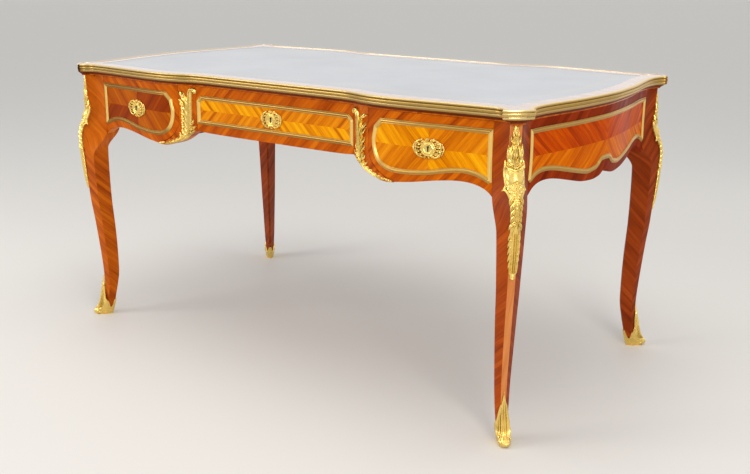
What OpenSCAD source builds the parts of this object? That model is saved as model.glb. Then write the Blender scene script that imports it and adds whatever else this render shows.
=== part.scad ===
// French rococo writing table: a flat leather top on a brass-edged slab, three frieze drawers
// in front, false drawers behind, and cabriole legs with gilt corner mounts and shoes.
// X runs along the table, the drawers open towards -Y and Z is up from the floor.

/* [Table] */
// Height from the floor to the top of the brass edge
table_h = 770; // [765:1:775]
// Height of the cast brass edge
edge_h = 22; // [18:1:26]
// Height of the dark moulding under the brass edge
band_h = 11; // [8:1:14]
// Depth of the brass edge, from its outer line to the slab
edge_w = 12; // [10:1:14]
// Width of the wood border between the outer line and the leather
border_w = 48; // [40:1:60]
// Overhang of the top past the friezes
overhang = 20; // [16:1:22]

/* [Drawers] */
// Half the width of the middle drawer's front
centre_half = 267.5; // [266.5:0.5:268]
// Distance from the centre to the inner edge of a side drawer's front
side_inner = 321.5; // [321:0.5:325]
// Distance from the centre to the inner face of a leg post
post_inner = 650; // [649:0.5:652]
// Gap round a drawer front
front_gap = 0.4; // [0.3:0.1:0.8]
// Distance of the flat back of the fronts from the centre plane
front_back = 340; // [336:1:344]
// Length of a drawer's box behind its front
box_length = 470; // [420:10:520]
// Thickness of a drawer's sides and back
side_t = 10; // [8:1:14]
// Thickness of a drawer's bottom
bottom_t = 6; // [5:1:8]
// Height of a drawer bolt's stroke
bolt_stroke = 8; // [6:1:9]

/* [Brass fillets] */
// Width of the flat brass frames
frame_w = 11.5; // [9:0.5:14]
// Thickness of the flat brass frames
frame_t = 2.5; // [1.5:0.5:4]

/* [Carcass] */
// Thickness of the end friezes
frieze_t = 24; // [20:1:28]
// Thickness of the partitions beside the knee space
partition_t = 18; // [16:1:24]
// Distance from the centre to the knee face of a partition
partition_x = 290; // [288:1:294]
// Height of the lower edge of the partitions
partition_low = 604; // [600:1:606]
// Thickness of the rail above the drawers
rail_t = 18; // [16:1:20]

/* [Hidden] */
slab_low = table_h - edge_h - band_h;
band_top = table_h - edge_h;
slab_top = table_h - 3.5;
veneer_top = table_h - 1;
leather_top_z = table_h - 1.5;
rail_low = slab_low - rail_t;
lift = table_h - 770;
root2 = sqrt(2);

// Plan of the outer line: distance to the front or back at each distance from the middle
front_plan = [[0, 380.5], [180, 380.5], [228, 380.9], [268, 385], [312, 398], [350, 405],
    [390, 407], [450, 404.5], [530, 397.5], [610, 391], [664, 389]];
// Distance to the end at each distance from the centre plane
end_plan = [[-80, 762], [0, 767], [80, 762], [160, 753], [230, 740], [280, 732], [315, 730]];
// Hollow flares that run out to the corner caps: centre, then radii along X and Y
flare_front = [664, 413, 29, 24];
flare_end = [745, 315, 15, 43];
// Corner cap: the ends of its curve, how far each moves when the outline moves in by 1, and its bulge
cap_front = [696.8, 415.9];
cap_end = [746.9, 365.8];
cap_front_step = [0.533, -1.1];
cap_end_step = [-1.008, 0.01];
cap_bulge = 6;

// Lower edge of a side drawer's front
side_apron = [[402, 572.4], [450, 578.5], [500, 587], [545, 593], [575, 594.5], [600, 592.5],
    [622, 587], [638, 579], [650, 569]];
// Lower edge of the lobe beside the knee space
knee_lobe = [[268, 617], [282, 609], [296, 600], [320, 586], [350, 574.5], [376, 570], [399, 570.9]];
// Lower edge of the middle drawer's front
centre_apron = [[0, 613], [150, 613], [230, 614], [268, 617]];
// Lower edge of an end frieze, with the small cusp in its middle
end_apron = [[0, 583.5], [9, 581.5], [22, 573.5], [42, 569], [65, 567.5], [110, 571], [165, 583],
    [205, 592], [240, 596.5], [272, 594], [298, 584], [316, 570]];
// Lower outline of the brass frame on a side drawer
side_frame_low = [[400, 595], [425, 594.3], [450, 595.5], [495, 600.5], [527, 607], [560, 612.5],
    [588, 613.2], [615, 608], [641, 597]];
// Lower outline of the brass frame on an end, from its middle bracket outwards
end_frame_low = [[60, 588], [82, 585.5], [108, 589], [172, 603], [215, 612.5], [252, 616.5],
    [282, 612], [308, 599]];

// Leg, along its diagonal: reach of the outer facet, and of the inner corner, at each height
leg_axis = [695.5, 364.5];
// Slight rounding of the leg's faces, and how far they run back for each unit across
crown = [0.5, 0];
face_slope = 1.3;
leg_out = [[12, 19], [40, 15], [70, 12.5], [100, 11.5], [128, 11], [170, 13], [240, 19], [313, 26.5],
    [360, 32.5], [410, 36.5], [450, 40], [500, 43], [535, 44], [565, 42.5], [590, 36], [612, 27],
    [640, 18.5], [680, 19.5], [737, 22.5]];
leg_in = [[12, 8], [39, 15], [60, 20], [93, 27], [120, 32], [147, 34], [214, 34], [280, 32],
    [358, 27.5], [440, 26], [520, 27], [560, 30]];
// Half the width across the diagonal, and half the width of the outer facet
leg_half = [[12, 12], [40, 14], [93, 17], [170, 20], [270, 24], [366, 27], [433, 29.5],
    [507, 32.5], [560, 35.5]];
leg_facet = [[12, 4.5], [100, 5.5], [172, 6.5], [300, 7.5], [386, 8], [520, 9], [600, 11.5],
    [640, 13], [737, 13]];
leg_heights = [12, 25, 40, 60, 80, 100, 128, 170, 215, 265, 313, 360, 398, 412, 430, 450, 476, 500,
    525, 545, 560, 572, 584, 597, 612, 630, 648, 684, 710, 726, 737];
post_front = 366;
post_end = [710, 316];

// Gilt shoe: reach of the toe, half width and reach of the heel at each height
shoe_out = [[0, 38], [5, 47], [9, 49.5], [14, 47], [22, 38.5], [32, 31], [44, 27], [60, 22.5],
    [88, 18], [122, 13]];
shoe_half = [[0, 12.6], [6, 15], [34, 17.5], [70, 19], [96, 20]];
shoe_in = [[0, 6], [10, 10], [39, 18], [55, 22], [70, 24.5]];
shoe_heights = [0, 4, 9, 14, 22, 32, 44, 60, 80, 101, 122];
shoe_even = 14;
// Height of the rim at each corner of the section, from the tip in front round to the heel
shoe_rim = [122, 122, 85, 62, 24, 50, 50, 24, 62, 85];

// Gilt corner mount: half width and thickness over the leg at each height
chute_half = [[398, 2], [412, 8.2], [426, 12], [450, 13], [500, 13.5], [540, 15], [560, 16], [574, 18],
    [597, 24], [622, 22], [648, 22], [684, 16], [710, 10], [726, 4], [734, 1]];
chute_thick = [[398, 3], [430, 7], [480, 9], [525, 10], [560, 12], [590, 14], [612, 13], [640, 9],
    [700, 6], [734, 2]];
chute_low = 398;
chute_tip = 734;
// Room between a mount and the leg that it is pinned to
seat = 0.2;

// Cast brass edge: how far each point stands back from the outer line, and its height below the top
edge_profile = [[12, 0], [3, 0], [0.6, 1.4], [0.6, 4.6], [2.4, 6], [0.4, 8.2], [0.4, 12.4],
    [2, 14.4], [3.4, 15.4], [3.6, 18.4], [6, 22], [12, 22]];

escutcheon_side = [491, 660];
escutcheon_centre = [0, 673];
lock_size = [60, 18, 48];
bolt_size = [28, 6, 26];
play = 0.3;

// Smooth curve through control points [distance, value]
function span(p, x, i = 0) = (i >= len(p) - 2 || x < p[i + 1][0]) ? i : span(p, x, i + 1);
function slope(p, i) = let (a = max(i - 1, 0), b = min(i + 1, len(p) - 1))
    (p[b][1] - p[a][1]) / (p[b][0] - p[a][0]);
function through(p, x) = let (
        i = span(p, x), h = p[i + 1][0] - p[i][0],
        t = max(0, min(1, (x - p[i][0]) / h)), s = t * t * (3 - 2 * t))
    p[i][1] * (1 - s) + p[i + 1][1] * s
    + slope(p, i) * h * t * (1 - t) * (1 - t) - slope(p, i + 1) * h * t * t * (1 - t);
function ease(a, b, x) = let (t = max(0, min(1, (x - a) / (b - a)))) t * t * (3 - 2 * t);
function mix(a, b, t) = a * (1 - t) + b * t;
// Quadratic curve from a to c that leaves a towards b
function bow(a, b, c, n) = [for (i = [0:n]) let (t = i / n)
    a * (1 - t) * (1 - t) + b * 2 * t * (1 - t) + c * t * t];
function reverse(p) = [for (i = [len(p) - 1:-1:0]) p[i]];
function mirror_x(p) = [for (q = reverse(p)) [-q[0], q[1]]];

// Plan of the outer line, moved in by k
front_xs = concat([0, 110, 200], [for (x = [225:20:385]) x], [for (x = [420:61:664]) x]);
end_ys = [315, 280, 230, 180, 130, 80, 40, 0];
function rim_y(x) = through(front_plan, abs(x));
function rim_x(y) = through(end_plan, abs(y));
function flare_front_at(t, k) = let (a = t * (90 - 1.4 * k))
    [flare_front[0] + (flare_front[2] + k) * sin(a), flare_front[1] - (flare_front[3] + k) * cos(a)];
function flare_end_at(t, k) = let (a = t * (90 - 1.85 * k))
    [flare_end[0] - (flare_end[2] + k) * cos(a), flare_end[1] + (flare_end[3] + k) * sin(a)];
function cap_at(t, k) = let (
        p = cap_front + k * cap_front_step, q = cap_end + k * cap_end_step,
        m = (p + q) / 2 + cap_bulge * [root2, root2])
    p * (1 - t) * (1 - t) + m * 2 * t * (1 - t) + q * t * t;
function half_front(k) = concat([for (x = front_xs) [x, rim_y(x) - k]],
    [for (j = [1:5]) flare_front_at(j / 5, k)]);
function half_end(k) = concat([for (j = [5:-1:1]) flare_end_at(j / 5, k)],
    [for (y = end_ys) [rim_x(y) - k, y]]);
function corner_part(k) = [for (j = [1:5]) cap_at(j / 6, k)];
// Full outline from one quarter that runs from the middle of the front to the middle of the end
function around(q) = let (n = len(q)) concat([for (p = q) [p[0], -p[1]]],
    [for (i = [n - 2:-1:0]) q[i]],
    [for (i = [1:n - 1]) [-q[i][0], q[i][1]]],
    [for (i = [n - 2:-1:1]) -q[i]]);
function outline(k) = around(concat(half_front(k), corner_part(k), half_end(k)));
corner_y = rim_y(664) - border_w;
corner_x = rim_x(315) - border_w;
leather_xs = concat([for (x = front_xs) if (x < corner_x) x], [corner_x]);
function leather_outline() = around(concat([for (x = leather_xs) [x, rim_y(x) - border_w]],
    [for (y = end_ys) if (y < corner_y) [rim_x(y) - border_w, y]]));

// Solid through a list of rings, each anticlockwise seen from the last ring's side
module loft(rings) {
    n = len(rings[0]);
    m = len(rings);
    sides = [for (i = [0:m - 2]) for (j = [0:n - 1]) let (
            a = i * n + j, b = i * n + (j + 1) % n, c = a + n, d = b + n)
        each [[a, d, b], [a, c, d]]];
    ends = [[for (j = [0:n - 1]) j], [for (j = [n - 1:-1:0]) (m - 1) * n + j]];
    polyhedron([for (r = rings) each r], concat(sides, ends));
}
module slab(p, low, high) {
    translate([0, 0, low]) linear_extrude(high - low) polygon(p);
}
module ring_slab(outer, inner, low, high) {
    translate([0, 0, low]) linear_extrude(high - low) difference() {
        polygon(outer);
        polygon(inner);
    }
}
// Outline drawn on the front, taken back through the table from the centre plane
module on_front(p) {
    rotate([90, 0, 0]) linear_extrude(500) polygon(p);
}
module on_end(p) {
    rotate([90, 0, 90]) linear_extrude(900) polygon(p);
}

// Faces of the friezes
function face_y(x) = rim_y(x) - overhang - 4 * ease(400, 640, abs(x));
function face_x(y) = rim_x(y) - overhang;
face_xs = concat([for (x = front_xs) x], [690]);
full_xs = concat([for (x = reverse(front_xs)) if (x > 0) -x], front_xs);
// Strip of the front between two distances in front of its face
module front_strip(t0, t1) {
    slab(concat([for (x = full_xs) [x, -face_y(x) - t0]],
        reverse([for (x = full_xs) [x, -face_y(x) - t1]])), 500, slab_low);
}
module front_block() {
    slab(concat([for (x = full_xs) [x, -face_y(x)]],
        [[664, -front_back], [-664, -front_back]]), 500, slab_low);
}
module end_strip(t0, t1) {
    ys = concat([for (y = end_ys) if (y > 0) -y], reverse(end_ys));
    slab(concat([for (y = ys) [face_x(y) + t1, y]],
        reverse([for (y = ys) [face_x(y) + t0, y]])), 500, slab_low);
}
module front_solid(p) {
    intersection() {
        front_block();
        on_front(p);
    }
}
module front_trim(p, proud) {
    intersection() {
        front_strip(0, proud);
        on_front(p);
    }
}
function raised(p) = [for (q = p) [q[0], q[1] + lift]];
function edge_points(c, a, b, n) = [for (i = [0:n]) let (x = mix(a, b, i / n)) [x, through(c, x)]];

// Outlines of the fronts, in X and Z
knee_corner = bow([side_inner, 645], [side_inner + 3.5, 596.2], [402, 572.4], 8);
function side_front_outline() = raised(concat(knee_corner,
    [for (q = edge_points(side_apron, 414, post_inner - front_gap, 18)) q],
    [[post_inner - front_gap, slab_low - front_gap - lift], [side_inner, slab_low - front_gap - lift]]));
function half_centre_low(h) = concat([[0, 613], [150, 613]], edge_points(centre_apron, 190, h, 5));
function centre_front_outline() = raised(concat(mirror_x(half_centre_low(centre_half)),
    [for (i = [1:7]) half_centre_low(centre_half)[i]],
    [[centre_half, slab_low - front_gap - lift], [-centre_half, slab_low - front_gap - lift]]));
stile_corner = bow([side_inner - 0.7, 645], [side_inner + 2.8, 595.2], [399, 571.8], 8);
function stile_outline() = raised(concat(edge_points(knee_lobe, centre_half + 0.7, 399, 14),
    reverse(stile_corner), [[side_inner - 0.7, slab_low - lift], [centre_half + 0.7, slab_low - lift]]));

// Brass frames
function side_frame_outer() = raised(concat(bow([335, 668], [336, 600], [400, 595], 7),
    edge_points(side_frame_low, 417, 641, 14),
    [[649.3, 602], [648.4, 640], [648, 676], [648.6, 718], [362.7, 718], [342, 698]]));
function centre_frame_outer() = raised([[-266, 636], [266, 636], [266, 699], [252, 713],
    [-252, 713], [-266, 699]]);
end_bracket = [[0, 608], [21, 606.5], [32, 598], [44, 591]];
function half_end_frame() = concat(end_bracket, edge_points(end_frame_low, 60, 308, 15),
    [[317, 606], [313, 640], [312, 676], [315, 718]]);
function end_frame_outer() = raised(concat(half_end_frame(),
    [for (q = reverse(half_end_frame())) if (q[0] > 0) [-q[0], q[1]]]));

module flat_frame(p, proud) {
    intersection() {
        front_strip(0, proud);
        rotate([90, 0, 0]) linear_extrude(500) frame_outline(p);
    }
}
module frame_outline(p) {
    difference() {
        polygon(p);
        offset(delta = -frame_w) polygon(p);
    }
}

// Keyhole, cut from front to back at [x, z]
module keyhole(at) {
    translate([at[0], 0, at[1] + lift]) {
        translate([0, 0, 4]) rotate([90, 0, 0]) cylinder(r = 2.4, h = 450, $fn = 24);
        translate([-1.1, -450, -8]) cube([2.2, 450, 10]);
    }
}
// Cartouche plate with a scalloped edge and a raised rim round the keyhole
function cartouche(at, w, h) = [for (i = [0:35]) let (
        a = i * 10, r = 1 + 0.09 * cos(6 * a) + 0.05 * cos(2 * a))
    [at[0] + w / 2 * r * cos(a) / 1.05, at[1] + h / 2 * r * sin(a) / 1.05]];
module cartouche_plate(at, side) {
    w = side ? 78 : 70;
    difference() {
        union() {
            front_trim(raised(cartouche(at, w, 48)), 4);
            front_trim(raised(cartouche(at, w * 0.62, 33)), 8);
        }
        front_trim(raised(cartouche(at, w * 0.3, 19)), 20);
        keyhole(at);
    }
    difference() {
        front_trim(raised(cartouche(at, w * 0.3, 19)), 5);
        keyhole(at);
    }
}

// Top
module top_panel() {
    color("saddlebrown") difference() {
        union() {
            slab(outline(edge_w), band_top, slab_top);
            slab(outline(overhang), slab_low, band_top + 1);
        }
        screw_places() translate([0, 0, slab_low - 1]) cylinder(r = 2.2, h = 19, $fn = 24);
    }
}
module top_border_veneer() {
    color("sienna") ring_slab(outline(edge_w), leather_outline(), slab_top, veneer_top);
}
module leather_top() {
    color("darkslategray") slab(leather_outline(), slab_top, leather_top_z);
}
module under_moulding() {
    color("saddlebrown") {
        ring_slab(outline(8), outline(overhang), band_top - band_h * 0.36, band_top);
        ring_slab(outline(12), outline(overhang), band_top - band_h * 0.68, band_top - band_h * 0.3);
        ring_slab(outline(16), outline(overhang), slab_low, band_top - band_h * 0.6);
    }
}
function edge_rings(paths) = [for (i = [0:len(paths[0]) - 1])
    [for (j = [0:len(edge_profile) - 1])
        [paths[j][i][0], paths[j][i][1], table_h - edge_profile[j][1] * edge_h / 22]]];
function profile_k(j) = edge_profile[j][0] * edge_w / 12;
module edge_along_front() {
    paths = [for (j = [0:len(edge_profile) - 1]) let (q = half_front(profile_k(j)))
        concat([for (i = [len(q) - 1:-1:1]) [-q[i][0], -q[i][1]]], [for (p = q) [p[0], -p[1]]])];
    loft(edge_rings(paths));
}
module edge_along_end() {
    paths = [for (j = [0:len(edge_profile) - 1]) let (q = half_end(profile_k(j)))
        concat([for (p = q) [p[0], -p[1]]], [for (i = [len(q) - 2:-1:0]) q[i]])];
    loft(edge_rings(paths));
}
module corner_cap() {
    proud = 1;
    paths = [for (j = [0:len(edge_profile) - 1]) let (k = profile_k(j))
        [for (i = [0:6]) cap_at(i / 6, k == edge_w ? k : k - proud)]];
    loft([for (r = edge_rings(paths)) [for (p = r) [p[0], -p[1], p[2]]]]);
}
module four_corners() {
    for (x = [0, 1]) for (y = [0, 1]) mirror([x, 0, 0]) mirror([0, y, 0]) children();
}
module edge_front() { color("darkgoldenrod") edge_along_front(); }
module edge_back() { color("darkgoldenrod") mirror([0, 1, 0]) edge_along_front(); }
module edge_right() { color("darkgoldenrod") edge_along_end(); }
module edge_left() { color("darkgoldenrod") mirror([1, 0, 0]) edge_along_end(); }
module corner_caps() { color("goldenrod") four_corners() corner_cap(); }

// Legs, worked out along the diagonal: d points out of the corner, w runs across it
function to_plan(q) = [leg_axis[0] + (q[0] + q[1]) / root2, -leg_axis[1] - (q[0] - q[1]) / root2];
function to_diagonal(x, y) = [(x - leg_axis[0] + y - leg_axis[1]) / root2,
    (x - leg_axis[0] - y + leg_axis[1]) / root2];
function leg_section(z) = let (
        c = through(leg_out, z), e = through(leg_facet, z), b = through(leg_half, z),
        a = through(leg_in, z), m = c - face_slope * (b - e),
        front = mix([m, -b], to_diagonal(post_inner, post_front), ease(500, 578, z)),
        end = mix([m, b], to_diagonal(post_end[0], post_end[1]), ease(535, 592, z)),
        corner = ease(520, 582, z),
        back_end = mix([-a, 3], to_diagonal(post_inner + 4, post_end[1]), corner),
        back_front = mix([-a, -3], to_diagonal(post_inner, post_end[1] + 4), corner),
        hollow = ease(575, 650, z),
        mid_front = mix(([c, -e] + front) / 2 + crown, to_diagonal(686, 370), hollow),
        mid_end = mix(([c, e] + end) / 2 + crown, to_diagonal(712.5, 346), hollow))
    [[c, -e], [c, e], mid_end, end, back_end, back_front, front, mid_front];
function at_height(section, z) = [for (q = section) let (p = to_plan(q)) [p[0], p[1], z]];
function leg_z(z) = z * slab_low / 737;
module leg() {
    color("sienna") loft([for (z = leg_heights) at_height(leg_section(z), leg_z(z))]);
}
// Section with one more corner in the middle of each inner face, moved out by s
function with_middles(q, s) = concat([for (j = [0:3]) q[j]], [(q[3] + q[4]) / 2 + s, q[4], q[5],
    (q[5] + q[6]) / 2 + [s[0], -s[1]], q[6], q[7]]);
// Section of the shoe: its facet, the corners of the toe, and the leg's side corners with metal round them
function shoe_section(z) = let (
        c = through(shoe_out, z), b = through(shoe_half, z), e = min(through(leg_facet, z) + 1, b * 0.8),
        toe = mix([c, e], [c - face_slope * (b - e), b], 0.9), m = leg_section(z)[3][0] + 1.5,
        a = through(shoe_in, z))
    with_middles([[c, -e], [c, e], toe, [m, b], [-a, 3], [-a, -3], [m, -b], [toe[0], -toe[1]]], [-0.6, 1.2]);
// Height of each corner of the section, which rises to the leaf's tip in front
function shoe_height(j, z) = z <= shoe_even ? z
    : shoe_even + (shoe_rim[j] - shoe_even) * (z - shoe_even) / (shoe_rim[0] - shoe_even);
function shoe_point(q, z) = let (p = to_plan(q)) [p[0], p[1], leg_z(z)];
// Corner of the leg's section, moved outwards by the room that the shoe leaves
function roomy(q) = q * (1 + seat / norm(q));
function leg_corner(z, j) = roomy(with_middles(leg_section(z), [0, 0])[j]);
module sabot() {
    outside = [for (z = shoe_heights) [for (j = [0:9]) let (h = shoe_height(j, z))
        shoe_point(shoe_section(h)[j], h)]];
    inside = [for (z = reverse(shoe_heights)) if (z > leg_heights[0]) [for (j = [0:9])
        let (h = shoe_height(j, z)) shoe_point(leg_corner(h, j), h)]];
    floor = [for (j = [0:9]) shoe_point(leg_corner(leg_heights[0], j), leg_heights[0])];
    color("goldenrod") loft(concat(outside, inside, [floor]));
}
chute_heights = concat([for (z = leg_heights) if (z >= chute_low && z < chute_tip) z], [chute_tip]);
// How far out the leg's face lies at h across the diagonal
function leg_face_at(z, h) = let (s = leg_section(min(z, 574)), t = (h - s[1][1]) / (s[2][1] - s[1][1]))
    mix(s[1][0], s[2][0], max(0, t));
function chute_section(z) = let (
        c = through(leg_out, z), h = through(chute_half, z), t = through(chute_thick, z),
        f = through(leg_facet, z), e = min(f, h * 0.95),
        m = mix(leg_face_at(z, h), c - max(0, h - f) * (1 - ease(640, 684, z)), ease(560, 600, z)))
    [[m + seat, -h], [m + t * 0.35, -h], [c + t * 0.8, -h * 0.5], [c + t, 0], [c + t * 0.8, h * 0.5],
        [m + t * 0.35, h], [m + seat, h], [c + seat, e], [c + seat, -e]];
module chute() {
    color("goldenrod") loft([for (z = chute_heights) at_height(chute_section(z), leg_z(z))]);
}
module place_left() { mirror([1, 0, 0]) children(); }
module place_back() { mirror([0, 1, 0]) children(); }
module leg_front_right() { leg(); }
module leg_front_left() { place_left() leg(); }
module leg_back_right() { place_back() leg(); }
module leg_back_left() { place_back() place_left() leg(); }
module sabot_front_right() { sabot(); }
module sabot_front_left() { place_left() sabot(); }
module sabot_back_right() { place_back() sabot(); }
module sabot_back_left() { place_back() place_left() sabot(); }
module chute_front_right() { chute(); }
module chute_front_left() { place_left() chute(); }
module chute_back_right() { place_back() chute(); }
module chute_back_left() { place_back() place_left() chute(); }

// Carcass
rail_depth = 58;
rail_front = front_back - 2;
module front_top_rail() {
    color("burlywood") difference() {
        translate([-post_inner, -rail_front, rail_low]) cube([2 * post_inner, rail_depth, rail_t]);
        for (at = [[0, 0], [escutcheon_side[0], 0], [-escutcheon_side[0], 0]])
            translate([at[0] - bolt_size[0] / 2 - 3, -rail_front - 1, rail_low - 1])
                cube([bolt_size[0] + 6, 16, bolt_stroke + 4]);
        screw_places() translate([0, 0, rail_low - 1]) cylinder(r = 2.6, h = rail_t + 2, $fn = 24);
        screw_places() translate([0, 0, rail_low - 1]) cylinder(r = 5, h = 5, $fn = 24);
    }
}
screw_y = -rail_front + 40;
module screw_places() {
    for (x = [-560, -370, -130, 130, 370, 560]) translate([x, screw_y, 0]) children();
}
module top_screws() {
    color("silver") screw_places() {
        translate([0, 0, rail_low + 0.5]) cylinder(r = 4.6, h = 3.5, $fn = 24);
        translate([0, 0, rail_low + 3]) cylinder(r = 2.2, h = rail_t + 14, $fn = 24);
    }
}
function half_end_low() = concat([[0, 583.5], [9, 581.5]], edge_points(end_apron, 18, post_end[1], 22));
module end_frieze() {
    color("chocolate") intersection() {
        end_strip(-frieze_t, 0);
        on_end(raised(concat(half_end_low(),
            [[post_end[1], slab_low - lift], [-post_end[1], slab_low - lift]],
            [for (q = reverse(half_end_low())) if (q[0] > 0) [-q[0], q[1]]])));
    }
}
module end_frieze_right() { end_frieze(); }
module end_frieze_left() { place_left() end_frieze(); }
function back_low() = concat([[0, 613], [150, 613], [230, 614]], edge_points(knee_lobe, 268, 399, 14),
    edge_points(side_apron, 414, post_inner, 18));
module back_frieze() {
    low = back_low();
    outline_xz = raised(concat(low, [[post_inner, slab_low - lift], [-post_inner, slab_low - lift]],
        [for (q = reverse(low)) if (q[0] > 0) [-q[0], q[1]]]));
    color("chocolate") place_back() front_solid(outline_xz);
}
module partition() {
    notch = rail_front - rail_depth - 0.3;
    z_low = partition_low + lift;
    color("sienna") translate([partition_x, 0, 0]) rotate([90, 0, 90]) linear_extrude(partition_t)
        polygon([[-front_back, z_low], [front_back, z_low], [front_back, slab_low], [-notch, slab_low],
            [-notch, rail_low - 0.3], [-front_back, rail_low - 0.3]]);
}
module partition_right() { partition(); }
module partition_left() { place_left() partition(); }
module knee_stile() { color("chocolate") front_solid(stile_outline()); }
module knee_stile_right() { knee_stile(); }
module knee_stile_left() { place_left() knee_stile(); }

// Drawer boxes: [inner x, outer x, low z, high z] of the right one, and of the middle one
side_box = [336, 633, 613, 708];
centre_box = [-262, 262, 634, 708];
runner_t = 8;
guide_h = 28;
module bar(x0, x1, z0, z1) {
    translate([x0, -rail_front, z0 + lift]) cube([x1 - x0, rail_front + front_back, z1 - z0]);
}
module both_sides() {
    for (s = [0, 1]) mirror([s, 0, 0]) children();
}
side_low = side_box[2] - 0.5;
centre_low = centre_box[2] - 0.5;
knee_outer = partition_x + partition_t;
// Strips that carry the boxes, and the guides glued on top of them
module drawer_runners() {
    color("burlywood") both_sides() {
        bar(side_box[1] - 16, post_inner, side_low - runner_t, side_low);
        bar(knee_outer, side_box[0] + 16, side_low - runner_t, side_low);
        bar(centre_box[1] - 16, partition_x, centre_low - runner_t, centre_low);
    }
}
module drawer_guides() {
    color("tan") both_sides() {
        bar(side_box[1] + 1.5, post_inner, side_low, side_low + guide_h);
        bar(knee_outer, side_box[0] - 1.5, side_low, side_low + guide_h);
        bar(centre_box[1] + 1.5, partition_x, centre_low, centre_low + guide_h);
    }
}
module box_boards(b) {
    y0 = -front_back;
    back_y = y0 + box_length;
    high = b[3] - b[2];
    translate([b[0], y0, b[2] + lift]) cube([side_t, box_length, high]);
    translate([b[1] - side_t, y0, b[2] + lift]) cube([side_t, box_length, high]);
    translate([b[0] + side_t, back_y - side_t, b[2] + lift]) cube([b[1] - b[0] - 2 * side_t, side_t, high]);
}
module box_bottom(b) {
    translate([b[0] + side_t, -front_back, b[2] + 6 + lift])
        cube([b[1] - b[0] - 2 * side_t, box_length - side_t, bottom_t]);
}
module lock_case(x) {
    top = rail_low - 1;
    slot = bolt_size + [2 * play, 2 * play, play];
    difference() {
        translate([x - lock_size[0] / 2, -front_back, top - lock_size[2]]) cube(lock_size);
        translate([x - slot[0] / 2, -front_back + lock_size[1] / 2 - slot[1] / 2, top - bolt_size[2] - play])
            cube([slot[0], slot[1], slot[2] + 1]);
    }
}
module lock_bolt(x) {
    top = rail_low - 1;
    translate([x - bolt_size[0] / 2, -front_back + lock_size[1] / 2 - bolt_size[1] / 2, top - bolt_size[2]])
        cube(bolt_size);
}
module side_front() {
    color("orange") difference() {
        front_solid(side_front_outline());
        keyhole(escutcheon_side);
    }
}
module side_frame() { color("gold") flat_frame(side_frame_outer(), frame_t); }
module centre_frame() { color("gold") flat_frame(centre_frame_outer(), frame_t); }

module drawer_right_front() { side_front(); }
module drawer_right_box() { color("burlywood") box_boards(side_box); }
module drawer_right_bottom() { color("wheat") box_bottom(side_box); }
module drawer_right_frame() { side_frame(); }
module drawer_right_escutcheon() { color("goldenrod") cartouche_plate(escutcheon_side, true); }
module drawer_right_lock() { color("darkgoldenrod") lock_case(escutcheon_side[0]); }
module drawer_right_bolt() { color("silver") lock_bolt(escutcheon_side[0]); }
module drawer_left_front() { place_left() side_front(); }
module drawer_left_box() { place_left() drawer_right_box(); }
module drawer_left_bottom() { place_left() drawer_right_bottom(); }
module drawer_left_frame() { place_left() side_frame(); }
module drawer_left_escutcheon() { place_left() drawer_right_escutcheon(); }
module drawer_left_lock() { place_left() drawer_right_lock(); }
module drawer_left_bolt() { place_left() drawer_right_bolt(); }
module drawer_centre_front() {
    color("orange") difference() {
        front_solid(centre_front_outline());
        keyhole(escutcheon_centre);
    }
}
module drawer_centre_box() { color("burlywood") box_boards(centre_box); }
module drawer_centre_bottom() { color("wheat") box_bottom(centre_box); }
module drawer_centre_frame() { centre_frame(); }
module drawer_centre_escutcheon() { color("goldenrod") cartouche_plate(escutcheon_centre, false); }
module drawer_centre_lock() { color("darkgoldenrod") lock_case(0); }
module drawer_centre_bolt() { color("silver") lock_bolt(0); }

// Leaf mounts on the stiles beside the knee space
leaf_low = [[282, 609], [296, 600], [320, 586], [350, 574.5], [376, 570], [396, 570.8]];
function leaf_outline() = raised(concat([[270.5, 646], [274, 640], [271, 626], [274, 614]],
    edge_points(leaf_low, 282, 396, 9),
    reverse(bow([317, 645], [320, 600], [393, 574.5], 6)),
    [[314, 664], [317, 684], [314, 698], [319, 716], [312, 722], [304, 712], [296, 698], [292, 706],
        [286, 722], [275, 732], [268.8, 727], [275, 718], [279, 700], [277, 670]]));
module leaf_mount() { color("goldenrod") front_trim(leaf_outline(), 9); }
module leaf_mount_front_right() { leaf_mount(); }
module leaf_mount_front_left() { place_left() leaf_mount(); }
module leaf_mounts_back() {
    place_back() {
        leaf_mount();
        place_left() leaf_mount();
    }
}
module end_frame() {
    color("gold") intersection() {
        end_strip(0, frame_t);
        rotate([90, 0, 90]) linear_extrude(900) frame_outline(end_frame_outer());
    }
}
module end_frame_right() { end_frame(); }
module end_frame_left() { place_left() end_frame(); }
module back_frames() {
    place_back() {
        side_frame();
        place_left() side_frame();
        centre_frame();
    }
}
module back_escutcheons() {
    place_back() {
        drawer_right_escutcheon();
        drawer_left_escutcheon();
        drawer_centre_escutcheon();
    }
}

top_panel();
top_border_veneer();
leather_top();
edge_front();
edge_back();
edge_left();
edge_right();
corner_caps();
under_moulding();
leg_front_left();
leg_front_right();
leg_back_left();
leg_back_right();
sabot_front_left();
sabot_front_right();
sabot_back_left();
sabot_back_right();
chute_front_left();
chute_front_right();
chute_back_left();
chute_back_right();
front_top_rail();
end_frieze_left();
end_frieze_right();
back_frieze();
partition_left();
partition_right();
knee_stile_left();
knee_stile_right();
drawer_runners();
drawer_guides();
top_screws();
leaf_mount_front_left();
leaf_mount_front_right();
leaf_mounts_back();
end_frame_left();
end_frame_right();
back_frames();
back_escutcheons();
drawer_left_front();
drawer_left_box();
drawer_left_bottom();
drawer_left_frame();
drawer_left_escutcheon();
drawer_left_lock();
drawer_left_bolt();
drawer_centre_front();
drawer_centre_box();
drawer_centre_bottom();
drawer_centre_frame();
drawer_centre_escutcheon();
drawer_centre_lock();
drawer_centre_bolt();
drawer_right_front();
drawer_right_box();
drawer_right_bottom();
drawer_right_frame();
drawer_right_escutcheon();
drawer_right_lock();
drawer_right_bolt();
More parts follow.
